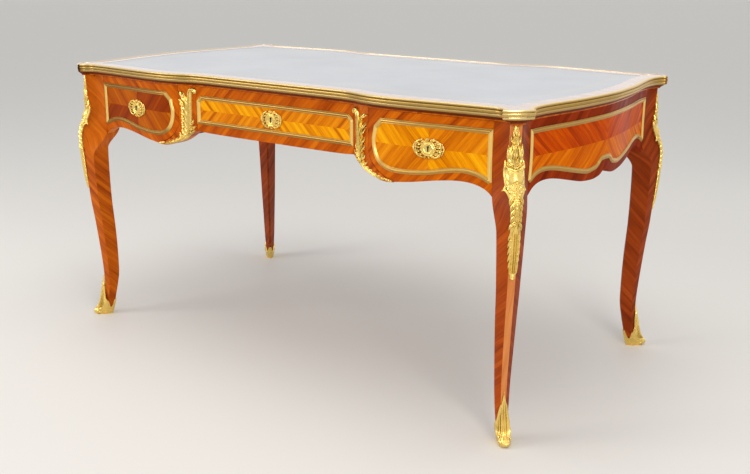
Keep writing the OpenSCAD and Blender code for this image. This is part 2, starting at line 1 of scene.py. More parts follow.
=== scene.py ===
import math
import bmesh
import bpy
import mathutils
import numpy as np
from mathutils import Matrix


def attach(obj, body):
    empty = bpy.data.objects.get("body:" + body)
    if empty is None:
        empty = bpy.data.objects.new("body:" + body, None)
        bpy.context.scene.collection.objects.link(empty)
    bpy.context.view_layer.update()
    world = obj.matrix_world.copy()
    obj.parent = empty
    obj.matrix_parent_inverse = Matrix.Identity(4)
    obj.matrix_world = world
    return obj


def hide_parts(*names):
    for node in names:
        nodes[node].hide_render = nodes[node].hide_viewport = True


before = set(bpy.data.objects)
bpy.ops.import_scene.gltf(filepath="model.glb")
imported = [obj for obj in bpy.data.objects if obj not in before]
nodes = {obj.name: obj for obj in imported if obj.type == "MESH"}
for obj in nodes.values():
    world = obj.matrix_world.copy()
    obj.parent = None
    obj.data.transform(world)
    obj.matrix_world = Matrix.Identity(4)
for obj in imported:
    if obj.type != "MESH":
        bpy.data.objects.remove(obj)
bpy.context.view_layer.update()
print("frame loaded")

# Sizes are in millimetres until a mesh is made
metre = 0.001
table = {"height": 770.0, "edgeHeight": 22.0, "bandHeight": 11.0, "edgeWidth": 12.0, "border": 48.0,
         "overhang": 20.0, "frontBack": 340.0, "friezeThick": 24.0, "gap": 0.4,
         "leatherDrop": 1.5, "leatherRound": 0.7, "borderDrop": 1.0, "coverBottom": 3.5}
slabLow = table["height"] - table["edgeHeight"] - table["bandHeight"]

plan = {
    "front": [[0, 380.5], [180, 380.5], [228, 380.9], [268, 385], [312, 398], [350, 405], [390, 407],
              [450, 404.5], [530, 397.5], [610, 391], [664, 389]],
    "end": [[-80, 762], [0, 767], [80, 762], [160, 753], [230, 740], [280, 732], [315, 730]],
    "flareFront": [664, 413, 29, 24], "flareEnd": [745, 315, 15, 43], "capFront": [696.8, 415.9],
    "capEnd": [746.9, 365.8], "capFrontStep": [0.533, -1.1], "capEndStep": [-1.008, 0.01], "capBulge": 6.0,
    "flareFrontTurn": 1.4, "flareEndTurn": 1.85}

root2 = math.sqrt(2)
white = (1.0, 1.0, 1.0)


# Smooth curve through [distance, value] points: a cubic between neighbours whose slopes are their central
# differences
def through(points, x):
    p = np.asarray(points, float)
    x = np.clip(np.asarray(x, float), p[0, 0], p[-1, 0])
    slopes = np.empty(len(p))
    slopes[1:-1] = (p[2:, 1] - p[:-2, 1]) / (p[2:, 0] - p[:-2, 0])
    slopes[0] = (p[1, 1] - p[0, 1]) / (p[1, 0] - p[0, 0])
    slopes[-1] = (p[-1, 1] - p[-2, 1]) / (p[-1, 0] - p[-2, 0])
    i = np.clip(np.searchsorted(p[:, 0], x, side="right") - 1, 0, len(p) - 2)
    h = p[i + 1, 0] - p[i, 0]
    t = (x - p[i, 0]) / h
    s = t * t * (3 - 2 * t)
    return (p[i, 1] * (1 - s) + p[i + 1, 1] * s + slopes[i] * h * t * (1 - t) ** 2
            - slopes[i + 1] * h * t * t * (1 - t))


# Zero before a, one after b and a smooth step between them
def ease(a, b, x):
    t = np.clip((np.asarray(x, float) - a) / (b - a), 0, 1)
    return t * t * (3 - 2 * t)


# Length of a path of points up to each of them
def lengthsOf(path):
    return np.concatenate([[0], np.cumsum(np.linalg.norm(np.diff(path, axis=0), axis=1))])


# Coordinates put side by side as the last axis
def beside(*columns):
    return np.stack(columns, -1)


# Path in the plan lifted to the height z
def lifted(path, z):
    return np.concatenate([path, np.full((len(path), 1), z)], -1)


# Quadratic curve from a to c that leaves a towards b
def bow(a, b, c, count):
    t = np.linspace(0, 1, count)[:, None]
    return np.array(a) * (1 - t) ** 2 + np.array(b) * 2 * t * (1 - t) + np.array(c) * t * t


# Even values of a curve given as values at even steps from 0 to 1
def profileAt(values, t):
    values = np.asarray(values, float)
    return through(np.c_[np.linspace(0, 1, len(values)), values], t)


# Distance of the rim from the centre plane at x: the front line through its plan points
def rimY(x):
    return through(plan["front"], np.abs(x))


# The same for the ends: the end line through its plan points at y
def rimX(y):
    return through(plan["end"], np.abs(y))


# Distance of the drawer fronts from the centre plane: the rim less the overhang, drawn in a little towards
# the legs
def frontFace(x):
    return rimY(x) - table["overhang"] - 4 * ease(400, 640, np.abs(x))


# Face of the ends: the end line less the overhang
def endFace(y):
    return rimX(y) - table["overhang"]


# Mesh under construction: arrays of points with their texture coordinates and zone, and of polygons with
# their slot
def newShell():
    return {"points": [], "uv": [], "zone": [], "faces": [], "slots": [], "count": 0}


# Adds points and gives the index of the first; without texture coordinates x and z are used
def addPoints(shell, points, uv, zone):
    points = np.asarray(points, float).reshape(-1, 3)
    shell["points"].append(points)
    shell["uv"].append(points[:, [0, 2]] * metre if uv is None else np.asarray(uv, float).reshape(-1, 2))
    shell["zone"].append(np.zeros(len(points)) if zone is None else np.asarray(zone, float).reshape(-1))
    start = shell["count"]
    shell["count"] += len(points)
    return start


# Quads between neighbouring rows and columns of a grid of points
def addGrid(shell, points, uv=None, zone=None, slot=0, flip=False, wrap=False):
    points = np.asarray(points, float)
    rows, columns = points.shape[:2]
    index = addPoints(shell, points, uv, zone) + np.arange(rows * columns).reshape(rows, columns)
    if wrap:
        index = np.concatenate([index, index[:, :1]], axis=1)
    quads = beside(index[:-1, :-1], index[1:, :-1], index[1:, 1:], index[:-1, 1:]).reshape(-1, 4)
    shell["faces"].append(quads[:, ::-1] if flip else quads)
    shell["slots"].append(np.full(len(quads), slot))


# One polygon through a ring of points
def addLid(shell, ring, uv=None, slot=0, flip=False):
    start = addPoints(shell, ring, uv, None)
    index = (start + np.arange(len(ring)))[None, :]
    shell["faces"].append(index[:, ::-1] if flip else index)
    shell["slots"].append(np.full(1, slot))


# Grid of relief points, turned so that its faces look the way that height grows
def addRelief(shell, a, b, h, place, slot=0):
    points = place(a, b, h)
    outward = place(a, b, h + 1) - points
    normal = np.cross(points[1:, :-1] - points[:-1, :-1], points[:-1, 1:] - points[:-1, :-1])
    addGrid(shell, points, uv=beside(a, b) * metre, slot=slot,
            flip=np.sum(normal * outward[:-1, :-1]) < 0)


# Place function whose result is mirrored by the two signs
def mirrored(place, signX, signY):
    return lambda a, b, h: place(a, b, h) * [signX, signY, 1]


# Object linked into the scene
def newObject(name, data):
    made = bpy.data.objects.new(name, data)
    bpy.context.scene.collection.objects.link(made)
    return made


# Object from a shell: corners within a few micrometres are joined, faces look outward and edges over the
# angle stay crisp
def makePiece(name, shell, body, replaced, looks, crisp=32, join=True):
    faces = shell["faces"]
    points = np.concatenate(shell["points"]) * metre
    uv = np.concatenate(shell["uv"])
    loops = np.concatenate([f.ravel() for f in faces]).astype(np.int32)
    sizes = np.concatenate([np.full(len(f), f.shape[1]) for f in faces])
    starts = np.concatenate([[0], np.cumsum(sizes)[:-1]]).astype(np.int32)
    mesh = bpy.data.meshes.new(name)
    mesh.vertices.add(len(points))
    mesh.vertices.foreach_set("co", points.ravel().astype(np.float32))
    mesh.loops.add(len(loops))
    mesh.loops.foreach_set("vertex_index", loops)
    mesh.polygons.add(len(sizes))
    mesh.polygons.foreach_set("loop_start", starts)
    mesh.polygons.foreach_set("material_index", np.concatenate(shell["slots"]).astype(np.int32))
    mesh.update(calc_edges=True)
    mesh.uv_layers.new(name="UVMap").data.foreach_set("uv", uv[loops].ravel().astype(np.float32))
    zone = mesh.attributes.new("zone", "FLOAT", "POINT")
    zone.data.foreach_set("value", np.concatenate(shell["zone"]).astype(np.float32))
    if join:
        solid = bmesh.new()
        solid.from_mesh(mesh)
        bmesh.ops.remove_doubles(solid, verts=solid.verts, dist=4e-6)
        bmesh.ops.recalc_face_normals(solid, faces=solid.faces)
        solid.to_mesh(mesh)
        solid.free()
    mesh.validate()
    mesh.shade_smooth()
    mesh.set_sharp_from_angle(angle=math.radians(crisp))
    piece = newObject(name, mesh)
    for look in looks:
        mesh.materials.append(materials[look])
    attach(piece, body)
    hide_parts(*replaced)


# Node graph helpers: each returns an output socket
def newMaterial(name):
    material = bpy.data.materials.new(name)
    material.use_nodes = True
    return material, material.node_tree


def put(tree, kind, values=None, **settings):
    made = tree.nodes.new(kind)
    for key, value in settings.items():
        setattr(made, key, value)
    for key, value in (values or {}).items():
        if hasattr(value, "is_output"):
            tree.links.new(value, made.inputs[key])
        else:
            made.inputs[key].default_value = value
    return made


def sums(tree, operation, first, second=0.0, third=None):
    values = {0: first, 1: second}
    if third is not None:
        values[2] = third
    return put(tree, "ShaderNodeMath", values, operation=operation).outputs[0]


def times(tree, first, second):
    return put(tree, "ShaderNodeMath", {0: first, 1: second}, operation="MULTIPLY").outputs[0]


def vector(tree, x, y, z=0.0):
    return put(tree, "ShaderNodeCombineXYZ", {0: x, 1: y, 2: z}).outputs[0]


def noise(tree, where, scale, detail=3.0, rough=0.55, distortion=0.0):
    return put(tree, "ShaderNodeTexNoise", {"Vector": where, "Scale": scale, "Detail": detail,
               "Roughness": rough, "Distortion": distortion}).outputs[0]


def ramp(tree, fac, stops):
    made = put(tree, "ShaderNodeValToRGB", {0: fac})
    band = made.color_ramp
    while len(band.elements) < len(stops):
        band.elements.new(0.5)
    for element, (place, colour) in zip(band.elements, stops):
        element.position = place
        element.color = (*colour, 1)
    return made.outputs[0]


def blend(tree, fac, first, second, kind="MIX"):
    made = put(tree, "ShaderNodeMix", data_type="RGBA", blend_type=kind)
    for socket, value in ((made.inputs[0], fac), (made.inputs[6], first), (made.inputs[7], second)):
        if hasattr(value, "is_output"):
            tree.links.new(value, socket)
        else:
            socket.default_value = value if isinstance(value, float) else (*value, 1)
    return made.outputs[2]


def uvParts(tree):
    coordinate = put(tree, "ShaderNodeUVMap", uv_map="UVMap").outputs[0]
    parts = put(tree, "ShaderNodeSeparateXYZ", {0: coordinate})
    return parts.outputs[0], parts.outputs[1]


def objectParts(tree):
    coordinate = put(tree, "ShaderNodeTexCoord").outputs["Object"]
    return list(put(tree, "ShaderNodeSeparateXYZ", {0: coordinate}).outputs)


# Veneer strips: across and along are distances over and with the grain, in metres. Each strip has a tone of
# its own, with grain in it and a dark joint at its side
def strips(tree, across, along, width=0.009, seed=0.0, joint=0.5):
    scale = 1.0 / width

    def grain(wide, long, shift, *rest):
        return noise(tree, vector(tree, times(tree, across, wide), times(tree, along, long), seed + shift),
                     1.0, *rest)
    wobble = grain(30.0, 9.0, 0, 1.0)
    place = sums(tree, "MULTIPLY_ADD", across, scale, times(tree, wobble, 0.9))
    cell = sums(tree, "FLOOR", place)
    share = sums(tree, "FRACT", place)
    tone = put(tree, "ShaderNodeTexWhiteNoise", {"W": sums(tree, "ADD", cell, seed)},
               noise_dimensions="1D").outputs[0]
    broad = grain(scale * 0.8, 5.0, 0, 2.0, 0.5)
    fine = grain(scale * 5, 14.0, 3, 3.0, 0.6)
    pores = grain(scale * 24, 150.0, 7, 2.0, 0.5)
    value = sums(tree, "MULTIPLY_ADD", fine, 0.42,
                 sums(tree, "MULTIPLY_ADD", broad, 0.42, times(tree, tone, 0.2)))
    edge = sums(tree, "ABSOLUTE", sums(tree, "SUBTRACT", share, 0.5))
    line = ramp(tree, edge, [(0.455, (1, 1, 1)), (0.5, (0.62, 0.5, 0.45))])
    dark = ramp(tree, pores, [(0.33, (0.7, 0.58, 0.5)), (0.47, (1, 1, 1))])
    shade = blend(tree, 1.0, blend(tree, joint, white, line), blend(tree, 0.55, white, dark), "MULTIPLY")
    return value, shade, pores


# Shader values, and a fine bump where a height is given
def surface(material, tree, colour, rough, coat=0.25, coatRough=0.12, height=None, strength=0.1, metal=0.0,
            specular=0.5, tint=white):
    shader = tree.nodes["Principled BSDF"]
    values = {"Base Color": colour, "Roughness": rough, "Coat Weight": coat, "Coat Roughness": coatRough,
              "Metallic": metal, "Specular IOR Level": specular, "Specular Tint": tint}
    for key, value in values.items():
        if hasattr(value, "is_output"):
            tree.links.new(value, shader.inputs[key])
        else:
            shader.inputs[key].default_value = (*value, 1) if isinstance(value, tuple) else value
    if height is not None:
        bump = put(tree, "ShaderNodeBump", {"Strength": strength, "Distance": 0.0004, "Height": height})
        tree.links.new(bump.outputs[0], shader.inputs["Normal"])
    return material


# Wood colours from the darkest grain to the lightest, and their places on the strips' scale
woodTones = {
    "gold": [(0.44, 0.1, 0.001), (0.72, 0.21, 0.001), (0.93, 0.35, 0.002), (1.0, 0.48, 0.006)],
    "amber": [(0.4, 0.08, 0.002), (0.62, 0.15, 0.002), (0.79, 0.23, 0.003), (0.9, 0.34, 0.008)],
    "amberDeep": [(0.26, 0.036, 0.001), (0.4, 0.07, 0.001), (0.52, 0.112, 0.001), (0.64, 0.18, 0.002)],
    "amberRed": [(0.16, 0.016, 0.001), (0.26, 0.031, 0.001), (0.35, 0.05, 0.001), (0.45, 0.082, 0.002)],
    "red": [(0.27, 0.034, 0.001), (0.46, 0.074, 0.002), (0.62, 0.125, 0.003), (0.75, 0.19, 0.005)],
    "endHigh": [(0.27, 0.023, 0.001), (0.46, 0.045, 0.001), (0.62, 0.076, 0.001), (0.78, 0.15, 0.002)],
    "endLow": [(0.4, 0.05, 0.001), (0.6, 0.1, 0.001), (0.76, 0.165, 0.002), (0.9, 0.3, 0.005)],
    "endBand": [(0.12, 0.012, 0.002), (0.22, 0.02, 0.003), (0.32, 0.035, 0.004), (0.42, 0.06, 0.006)],
    "leg": [(0.19, 0.022, 0.002), (0.32, 0.04, 0.003), (0.43, 0.064, 0.005), (0.55, 0.1, 0.008)],
    # Lighter copy of the leg's tones for the front left leg: painted light
    "legLight": [(0.26, 0.037, 0.002), (0.43, 0.072, 0.003), (0.57, 0.115, 0.005), (0.7, 0.17, 0.008)],
    # Darker tones for the legs' side faces and the back legs: painted shade
    "legSide": [(0.14, 0.018, 0.004), (0.25, 0.035, 0.006), (0.36, 0.055, 0.009), (0.46, 0.085, 0.013)],
    "strip": [(0.46, 0.13, 0.035), (0.68, 0.22, 0.06), (0.82, 0.32, 0.1)],
    "border": [(0.26, 0.1, 0.055), (0.38, 0.17, 0.1), (0.48, 0.25, 0.16), (0.56, 0.33, 0.22)]}
tonePlaces = {"endBand": (0.3, 0.45, 0.6, 0.75), "legSide": (0.3, 0.45, 0.6, 0.75), "strip": (0.3, 0.5, 0.75)}
for tones, colours in woodTones.items():
    woodTones[tones] = list(zip(tonePlaces.get(tones, (0.3, 0.43, 0.56, 0.7)), colours))
varnish = (1.0, 0.5, 0.12)


# Distances across and along a grain that is turned by an angle from u
def turned(tree, u, v, angle):
    c, s = math.cos(angle), math.sin(angle)
    return (sums(tree, "SUBTRACT", times(tree, v, c), times(tree, u, s)),
            sums(tree, "ADD", times(tree, u, c), times(tree, v, s)))


# Front veneer: inside the brass frame the strips run out from the panel's middle in four quarters, two of
# them lighter, and outside it they cross the border on the slant
def frontVeneer(name, lightTones, darkTones, borderTones, angle, seed, lightSide, glossy=0.02, halves=False,
                specular=0.08):
    material, tree = newMaterial(name)
    u, v = uvParts(tree)
    a = sums(tree, "ABSOLUTE", u)
    b = sums(tree, "ABSOLUTE", v)
    signU, signV = sums(tree, "SIGN", u), sums(tree, "SIGN", v)
    quarter = sums(tree, "MULTIPLY_ADD", signV, 2.3, signU)
    across, along = turned(tree, a, b, angle)
    across = sums(tree, "MULTIPLY_ADD", quarter, 0.0017, across)
    value, shade, pores = strips(tree, across, along, 0.0088, seed)
    side = signV if halves else times(tree, signU, signV)
    light = sums(tree, "GREATER_THAN", times(tree, side, lightSide), 0.0)
    panel = blend(tree, light, ramp(tree, value, woodTones[darkTones]),
                  ramp(tree, value, woodTones[lightTones]))
    panel = blend(tree, 1.0, panel, shade, "MULTIPLY")
    slant = times(tree, sums(tree, "SUBTRACT", u, v), 1 / root2)
    other = times(tree, sums(tree, "ADD", u, v), 1 / root2)
    borderValue, borderShade, _ = strips(tree, slant, other, 0.012, seed + 11)
    border = blend(tree, 1.0, ramp(tree, borderValue, woodTones[borderTones]), borderShade, "MULTIPLY")
    zone = put(tree, "ShaderNodeAttribute", attribute_name="zone").outputs["Fac"]
    inside = sums(tree, "GREATER_THAN", zone, 0.0)
    colour = blend(tree, inside, border, panel)
    return surface(material, tree, colour, 0.3, glossy, 0.1, pores, 0.1, specular=specular, tint=varnish)


def vectorColour(tree, value):
    return put(tree, "ShaderNodeCombineColor", {0: value, 1: value, 2: value}).outputs[0]


# Leg veneer: strips slanting across the face; the texture's first coordinate is the distance across the leg
def legVeneer(name, tones, angle, seed, width=0.01, glossy=0.02, tint=varnish, specular=0.25):
    material, tree = newMaterial(name)
    u, v = uvParts(tree)
    across, along = turned(tree, u, v, angle)
    value, shade, pores = strips(tree, across, along, width, seed, 0.35)
    colour = blend(tree, 1.0, ramp(tree, value, woodTones[tones]), shade, "MULTIPLY")
    return surface(material, tree, colour, 0.3, glossy, 0.12, pores, 0.1, specular=specular, tint=tint)


# Plain wood whose grain runs along one axis of the object
def plainWood(name, stops, axis, rough=0.55, coat=0.0, specular=0.5, tint=white):
    material, tree = newMaterial(name)
    stretched = [times(tree, part, 6.0 if i == axis else 70.0) for i, part in enumerate(objectParts(tree))]
    value = noise(tree, vector(tree, *stretched), 1.0, 4.0, 0.6, 0.6)
    return surface(material, tree, ramp(tree, value, stops), rough, coat, 0.2, value, 0.15,
                   specular=specular, tint=tint)


# Gilt metal: painted shade makes it darker and duller in its hollows, where an occlusion mask blends in the
# dark colour, with a faint cast unevenness. The zone mixes in a painted highlight colour up to 1 (the rims'
# lip and lower band, the fillets' upright runs), and the flat strip's painted highlight colour from 1 to 2
def giltMetal(name, bright, dark, rough, bumpScale, strength, hollow=0.003, lip=None, flat=None):
    material, tree = newMaterial(name)
    coordinate = put(tree, "ShaderNodeTexCoord").outputs["Object"]
    cloud = noise(tree, coordinate, 90.0, 3.0, 0.6)
    grain = noise(tree, coordinate, bumpScale, 3.0, 0.6)
    # Painted shade: occlusion within the hollow distance darkens the colour towards the dark one
    shade = put(tree, "ShaderNodeAmbientOcclusion", {"Distance": hollow}, samples=8,
                only_local=True).outputs["AO"]
    paintedShadeMask = ramp(tree, shade, [(0.2, (1, 1, 1)), (0.75, (0, 0, 0))])
    patch = sums(tree, "MULTIPLY_ADD", cloud, 0.4, 0.8)
    base = blend(tree, 1.0, bright, vectorColour(tree, patch), "MULTIPLY")
    if lip is not None:
        zone = put(tree, "ShaderNodeAttribute", attribute_name="zone").outputs["Fac"]
        base = blend(tree, zone, base, lip)
        if flat is not None:
            base = blend(tree, sums(tree, "SUBTRACT", zone, 1.0), base, flat)
    colour = blend(tree, paintedShadeMask, base, dark)
    roughness = sums(tree, "MULTIPLY_ADD", cloud, 0.16, rough - 0.08)
    return surface(material, tree, colour, roughness, 0.0, 0.1, grain, strength, 1.0)


materials = {}
darkStops = [(0.3, (0.035, 0.012, 0.006)), (0.6, (0.085, 0.028, 0.01)), (0.8, (0.13, 0.045, 0.016))]
mouldingStops = [(0.3, (0.07, 0.009, 0.002)), (0.6, (0.14, 0.018, 0.004)), (0.8, (0.22, 0.032, 0.006))]
paleStops = [(0.3, (0.2, 0.1, 0.04)), (0.55, (0.33, 0.18, 0.075)), (0.8, (0.43, 0.26, 0.12))]
# Pale colour of the edges' flat top strip: painted highlight
topHighlight = (0.78, 0.63, 0.4)
# Bright colour of the fillets' upright runs: painted highlight
uprightHighlight = (0.95, 0.66, 0.2)
# Values of the materials, in the order of their functions' arguments
fronts = {
    "frontRight": ("gold", "amber", "red", 0.86, 1.0, -1.0),
    "frontCentre": ("gold", "amber", "red", 0.8, 21.0, -1.0),
    "frontLeft": ("amberDeep", "amberRed", "red", 0.86, 31.0, 1.0),
    "endPanel": ("endHigh", "endLow", "endBand", 0.7, 5.0, 1.0, 0.03, True, 0.01)}
veneers = {
    "crossBand": ("red", 0.9, 9.0),
    "legFace": ("leg", 0.75, 2.0),
    "legFaceLeft": ("legLight", 0.75, 14.0),
    "legFaceBack": ("legSide", 0.75, 18.0, 0.01, 0.02, varnish, 0.1),
    "legStrip": ("strip", 1.45, 4.0, 0.006, 0.06),
    "legSide": ("legSide", -0.7, 6.0, 0.01, 0.0, varnish, 0.03)}
woods = {
    "darkWood": (darkStops, 0, 0.42, 0.2),
    "moulding": (mouldingStops, 0, 0.4, 0.0, 0.25, varnish),
    "darkWoodY": (darkStops, 1, 0.42, 0.2),
    "paleWoodX": (paleStops, 0),
    "paleWoodY": (paleStops, 1)}
# Each metal's second colour is the painted shade of its hollows
metals = {
    "gilt": ((0.84, 0.6, 0.17), (0.3, 0.175, 0.04), 0.27, 900.0, 0.2),
    "fillet": ((0.5, 0.29, 0.07), (0.18, 0.08, 0.013), 0.32, 500.0, 0.06, 0.003, uprightHighlight),
    # Darker copy of the fillet for the middle and left drawers: painted shade
    "filletDim": ((0.32, 0.17, 0.038), (0.13, 0.055, 0.01), 0.32, 500.0, 0.06, 0.003, uprightHighlight),
    # The rims' and caps' third colour brightens the lip and lower band, and the fourth the top strip: painted
    # highlight
    "rim": ((0.42, 0.27, 0.075), (0.08, 0.04, 0.008), 0.36, 400.0, 0.04, 0.005, (0.66, 0.5, 0.24), topHighlight),
    # Lighter copies of the rim's brass for the ends and the corner caps: painted light
    "rimEnd": ((0.5, 0.31, 0.075), (0.1, 0.05, 0.01), 0.36, 400.0, 0.04, 0.005, (0.72, 0.52, 0.22), topHighlight),
    "capMetal": ((0.62, 0.43, 0.15), (0.14, 0.07, 0.014), 0.28, 400.0, 0.04, 0.005, (0.8, 0.64, 0.34), topHighlight),
    "lockMetal": ((0.6, 0.45, 0.18), (0.2, 0.12, 0.04), 0.4, 300.0, 0.1)}
for make, recipes in ((frontVeneer, fronts), (legVeneer, veneers), (plainWood, woods), (giltMetal, metals)):
    for name, recipe in recipes.items():
        materials[name] = make(name, *recipe)
steel, steelTree = newMaterial("steelMetal")
scratches = noise(steelTree, put(steelTree, "ShaderNodeTexCoord").outputs["Object"], 260.0, 4.0, 0.6)
steelTones = [(0.35, (0.3, 0.3, 0.31)), (0.65, (0.48, 0.48, 0.49))]
materials["steel"] = surface(steel, steelTree, ramp(steelTree, scratches, steelTones), 0.35, 0.0, 0.1,
                             scratches, 0.1, 1.0)
print("materials made")


# Leather: grey-blue hide with two gold lines and a tooled row between them; the texture's second
# coordinate is the distance from the rim and its first the distance along it
def leatherMaterial():
    material, tree = newMaterial("leather")
    u, v = uvParts(tree)
    coordinate = put(tree, "ShaderNodeTexCoord").outputs["Object"]
    hide = put(tree, "ShaderNodeTexVoronoi", {"Vector": coordinate, "Scale": 900.0},
               feature="DISTANCE_TO_EDGE").outputs[0]
    cloud = noise(tree, coordinate, 5.0, 4.0, 0.6)
    base = ramp(tree, cloud, [(0.3, (0.33, 0.343, 0.364)), (0.7, (0.405, 0.418, 0.438))])

    def line(middle, half):
        return sums(tree, "LESS_THAN", sums(tree, "ABSOLUTE", sums(tree, "SUBTRACT", v, middle)), half)
    wave = sums(tree, "SINE", times(tree, u, 2 * math.pi / 0.014))
    row = sums(tree, "LESS_THAN", sums(tree, "ABSOLUTE", sums(tree, "SUBTRACT", v,
               sums(tree, "MULTIPLY_ADD", wave, 0.0022, 0.0975))), 0.0011)
    gold = sums(tree, "MAXIMUM", sums(tree, "MAXIMUM", line(0.0925, 0.0006), line(0.1025, 0.0006)), row)
    gold = sums(tree, "MAXIMUM", gold, line(0.0535, 0.0005))
    colour = blend(tree, times(tree, gold, 0.6), base, (0.62, 0.45, 0.25))
    pressed = sums(tree, "SUBTRACT", sums(tree, "MINIMUM", hide, 0.2), times(tree, gold, 1.0))
    return surface(material, tree, colour, 0.36, 0.5, 0.25, pressed, 0.2)


materials["leather"] = leatherMaterial()
materials["borderVeneer"] = legVeneer("borderVeneer", "border", 0.0, 12.0, 0.02, 0.5, white, 0.5)
borderShader = materials["borderVeneer"].node_tree.nodes["Principled BSDF"]
borderShader.inputs["Coat Weight"].default_value = 1.0
borderShader.inputs["Coat IOR"].default_value = 1.75


# Brass edge: the profile [distance behind the rim, distance below the top] swept along the rim's plan
edgeProfile = np.array([
    [12, 0], [3.4, 0], [1.9, 0.3], [0.9, 1.1], [0.5, 2.4], [0.55, 3.9], [1.1, 5.0], [2.2, 5.7], [2.7, 6.2],
    [1.7, 6.7], [0.8, 7.6], [0.35, 9.2], [0.3, 10.6], [0.6, 12.1], [1.4, 13.3], [2.6, 14.1], [3.3, 14.8],
    [2.7, 15.4], [2.4, 16.2], [2.7, 17.6], [3.5, 19.0], [4.6, 20.2], [5.4, 21.2], [6, 22], [12, 22]])
capProfile = np.array([
    [12, 0], [3.2, 0], [1.2, 0.4], [0.2, 1.4], [-0.3, 3.2], [0.1, 5.0], [1.5, 5.6], [1.7, 6.2], [0.3, 6.8],
    [-0.5, 8.6], [-0.7, 10.6], [-0.4, 12.6], [0.5, 13.8], [1.8, 14.3], [1.8, 15.0], [0.6, 15.5], [0.3, 17.2],
    [1.0, 19.2], [2.8, 20.9], [5.4, 21.8], [6, 22], [12, 22]])


# Flare at the end of the front line, moved in by k: a quarter ellipse whose radii grow by k and whose turn
# shortens with it
def flareFront(t, k):
    x, y, rx, ry = plan["flareFront"]
    a = np.radians(t * (90 - plan["flareFrontTurn"] * k))
    return beside(x + (rx + k) * np.sin(a), y - (ry + k) * np.cos(a))


# Flare at the end of the end line: the same, with its own centre and radii
def flareEnd(t, k):
    x, y, rx, ry = plan["flareEnd"]
    a = np.radians(t * (90 - plan["flareEndTurn"] * k))
    return beside(x - (rx + k) * np.cos(a), y + (ry + k) * np.sin(a))


# Corner cap's line moved in by k: a quadratic curve between its two ends
def capArc(t, k):
    p = np.array(plan["capFront"]) + k * np.array(plan["capFrontStep"])
    q = np.array(plan["capEnd"]) + k * np.array(plan["capEndStep"])
    middle = (p + q) / 2 + plan["capBulge"] * root2
    t = np.asarray(t, float)[:, None]
    return p * (1 - t) ** 2 + middle * 2 * t * (1 - t) + q * t * t


# Outer line moved in by k, from the middle of the front to the flare's tip
def halfFront(k):
    x = np.concatenate([np.linspace(0, 200, 9)[:-1], np.linspace(200, plan["flareFront"][0], 48)])
    return np.concatenate([beside(x, rimY(x) - k), flareFront(np.linspace(0, 1, 15)[1:], k)])


# The same from the flare's tip to the middle of the end: the ellipse, then the end line
def halfEnd(k):
    y = np.linspace(plan["flareEnd"][1], 0, 34)
    return np.concatenate([flareEnd(np.linspace(1, 0, 15)[:-1], k), beside(rimX(y) - k, y)])


# Painted highlight on the brass at each depth below the top: the lip and the lower band brighter than the
# reeds, and 2 on the flat strip that frames the border
rimHighlight = [[0, 0.3, 1.6, 2.8, 14.6, 15.4, 18.5, 20], [2, 1, 0.85, 0, 0, 0.5, 0.45, 0]]


# Solid strip: each profile point's path at its own height, closed round the profile and with flat ends
def sweepEdge(shell, paths, profile, place):
    grid = np.stack([lifted(path, table["height"] - drop) for path, (k, drop) in zip(paths, profile)], axis=1)
    grid = grid * [*place, 1]
    lengths = lengthsOf(grid[:, 3])
    uv = np.stack(np.broadcast_arrays(lengths[:, None] * metre, profile[None, :, 1] * metre), -1)
    paintedHighlight = np.broadcast_to(np.interp(profile[:, 1], rimHighlight[0], rimHighlight[1]), grid.shape[:2])
    addGrid(shell, grid, uv=uv, zone=paintedHighlight, wrap=True)
    addLid(shell, grid[0])
    addLid(shell, grid[-1])


# Front edge: half of the path and its mirror image in x, for each point of the profile
def edgeAlongFront(place):
    shell = newShell()
    halves = [halfFront(k) * [1, -1] for k, drop in edgeProfile]
    sweepEdge(shell, [np.concatenate([(half * [-1, 1])[:0:-1], half]) for half in halves], edgeProfile, place)
    return shell


# End edge: half of the path and its mirror image in y, for each point of the profile
def edgeAlongEnd(place):
    shell = newShell()
    halves = [halfEnd(k) for k, drop in edgeProfile]
    sweepEdge(shell, [np.concatenate([half * [1, -1], half[-2::-1]]) for half in halves], edgeProfile, place)
    return shell


# Four caps: the cap's profile swept along the corner line, mirrored to each corner
def cornerCaps():
    shell = newShell()
    for signX in (1, -1):
        for signY in (1, -1):
            sweepEdge(shell, [capArc(np.linspace(0, 1, 33), k) for k, drop in capProfile], capProfile,
                      (signX, signY))
    return shell


# The ends' edges take a lighter copy of the rim's brass, and the caps a lighter one again: painted light
for side, make, place, look in (("front", edgeAlongFront, (1, 1), "rim"),
                                ("back", edgeAlongFront, (1, -1), "rim"),
                                ("right", edgeAlongEnd, (1, 1), "rimEnd"),
                                ("left", edgeAlongEnd, (-1, 1), "rimEnd")):
    makePiece("brass_edge_" + side, make(place), "desk", ["edge_" + side], [look], 50)
makePiece("brass_corner_caps", cornerCaps(), "desk", ["corner_caps"], ["capMetal"], 50)


# Whole outline moved in by k, from one quarter of it
def around(quarter):
    return np.concatenate([quarter * [1, -1], quarter[-2::-1], (quarter * [-1, 1])[1:], (-quarter)[-2:0:-1]])


# Front, corner cap and end of one quarter of the outline moved in by k
def quarterParts(k):
    return halfFront(k), capArc(np.linspace(0, 1, 17), k)[1:-1], halfEnd(k)


def outline(k):
    return around(np.concatenate(quarterParts(k)))


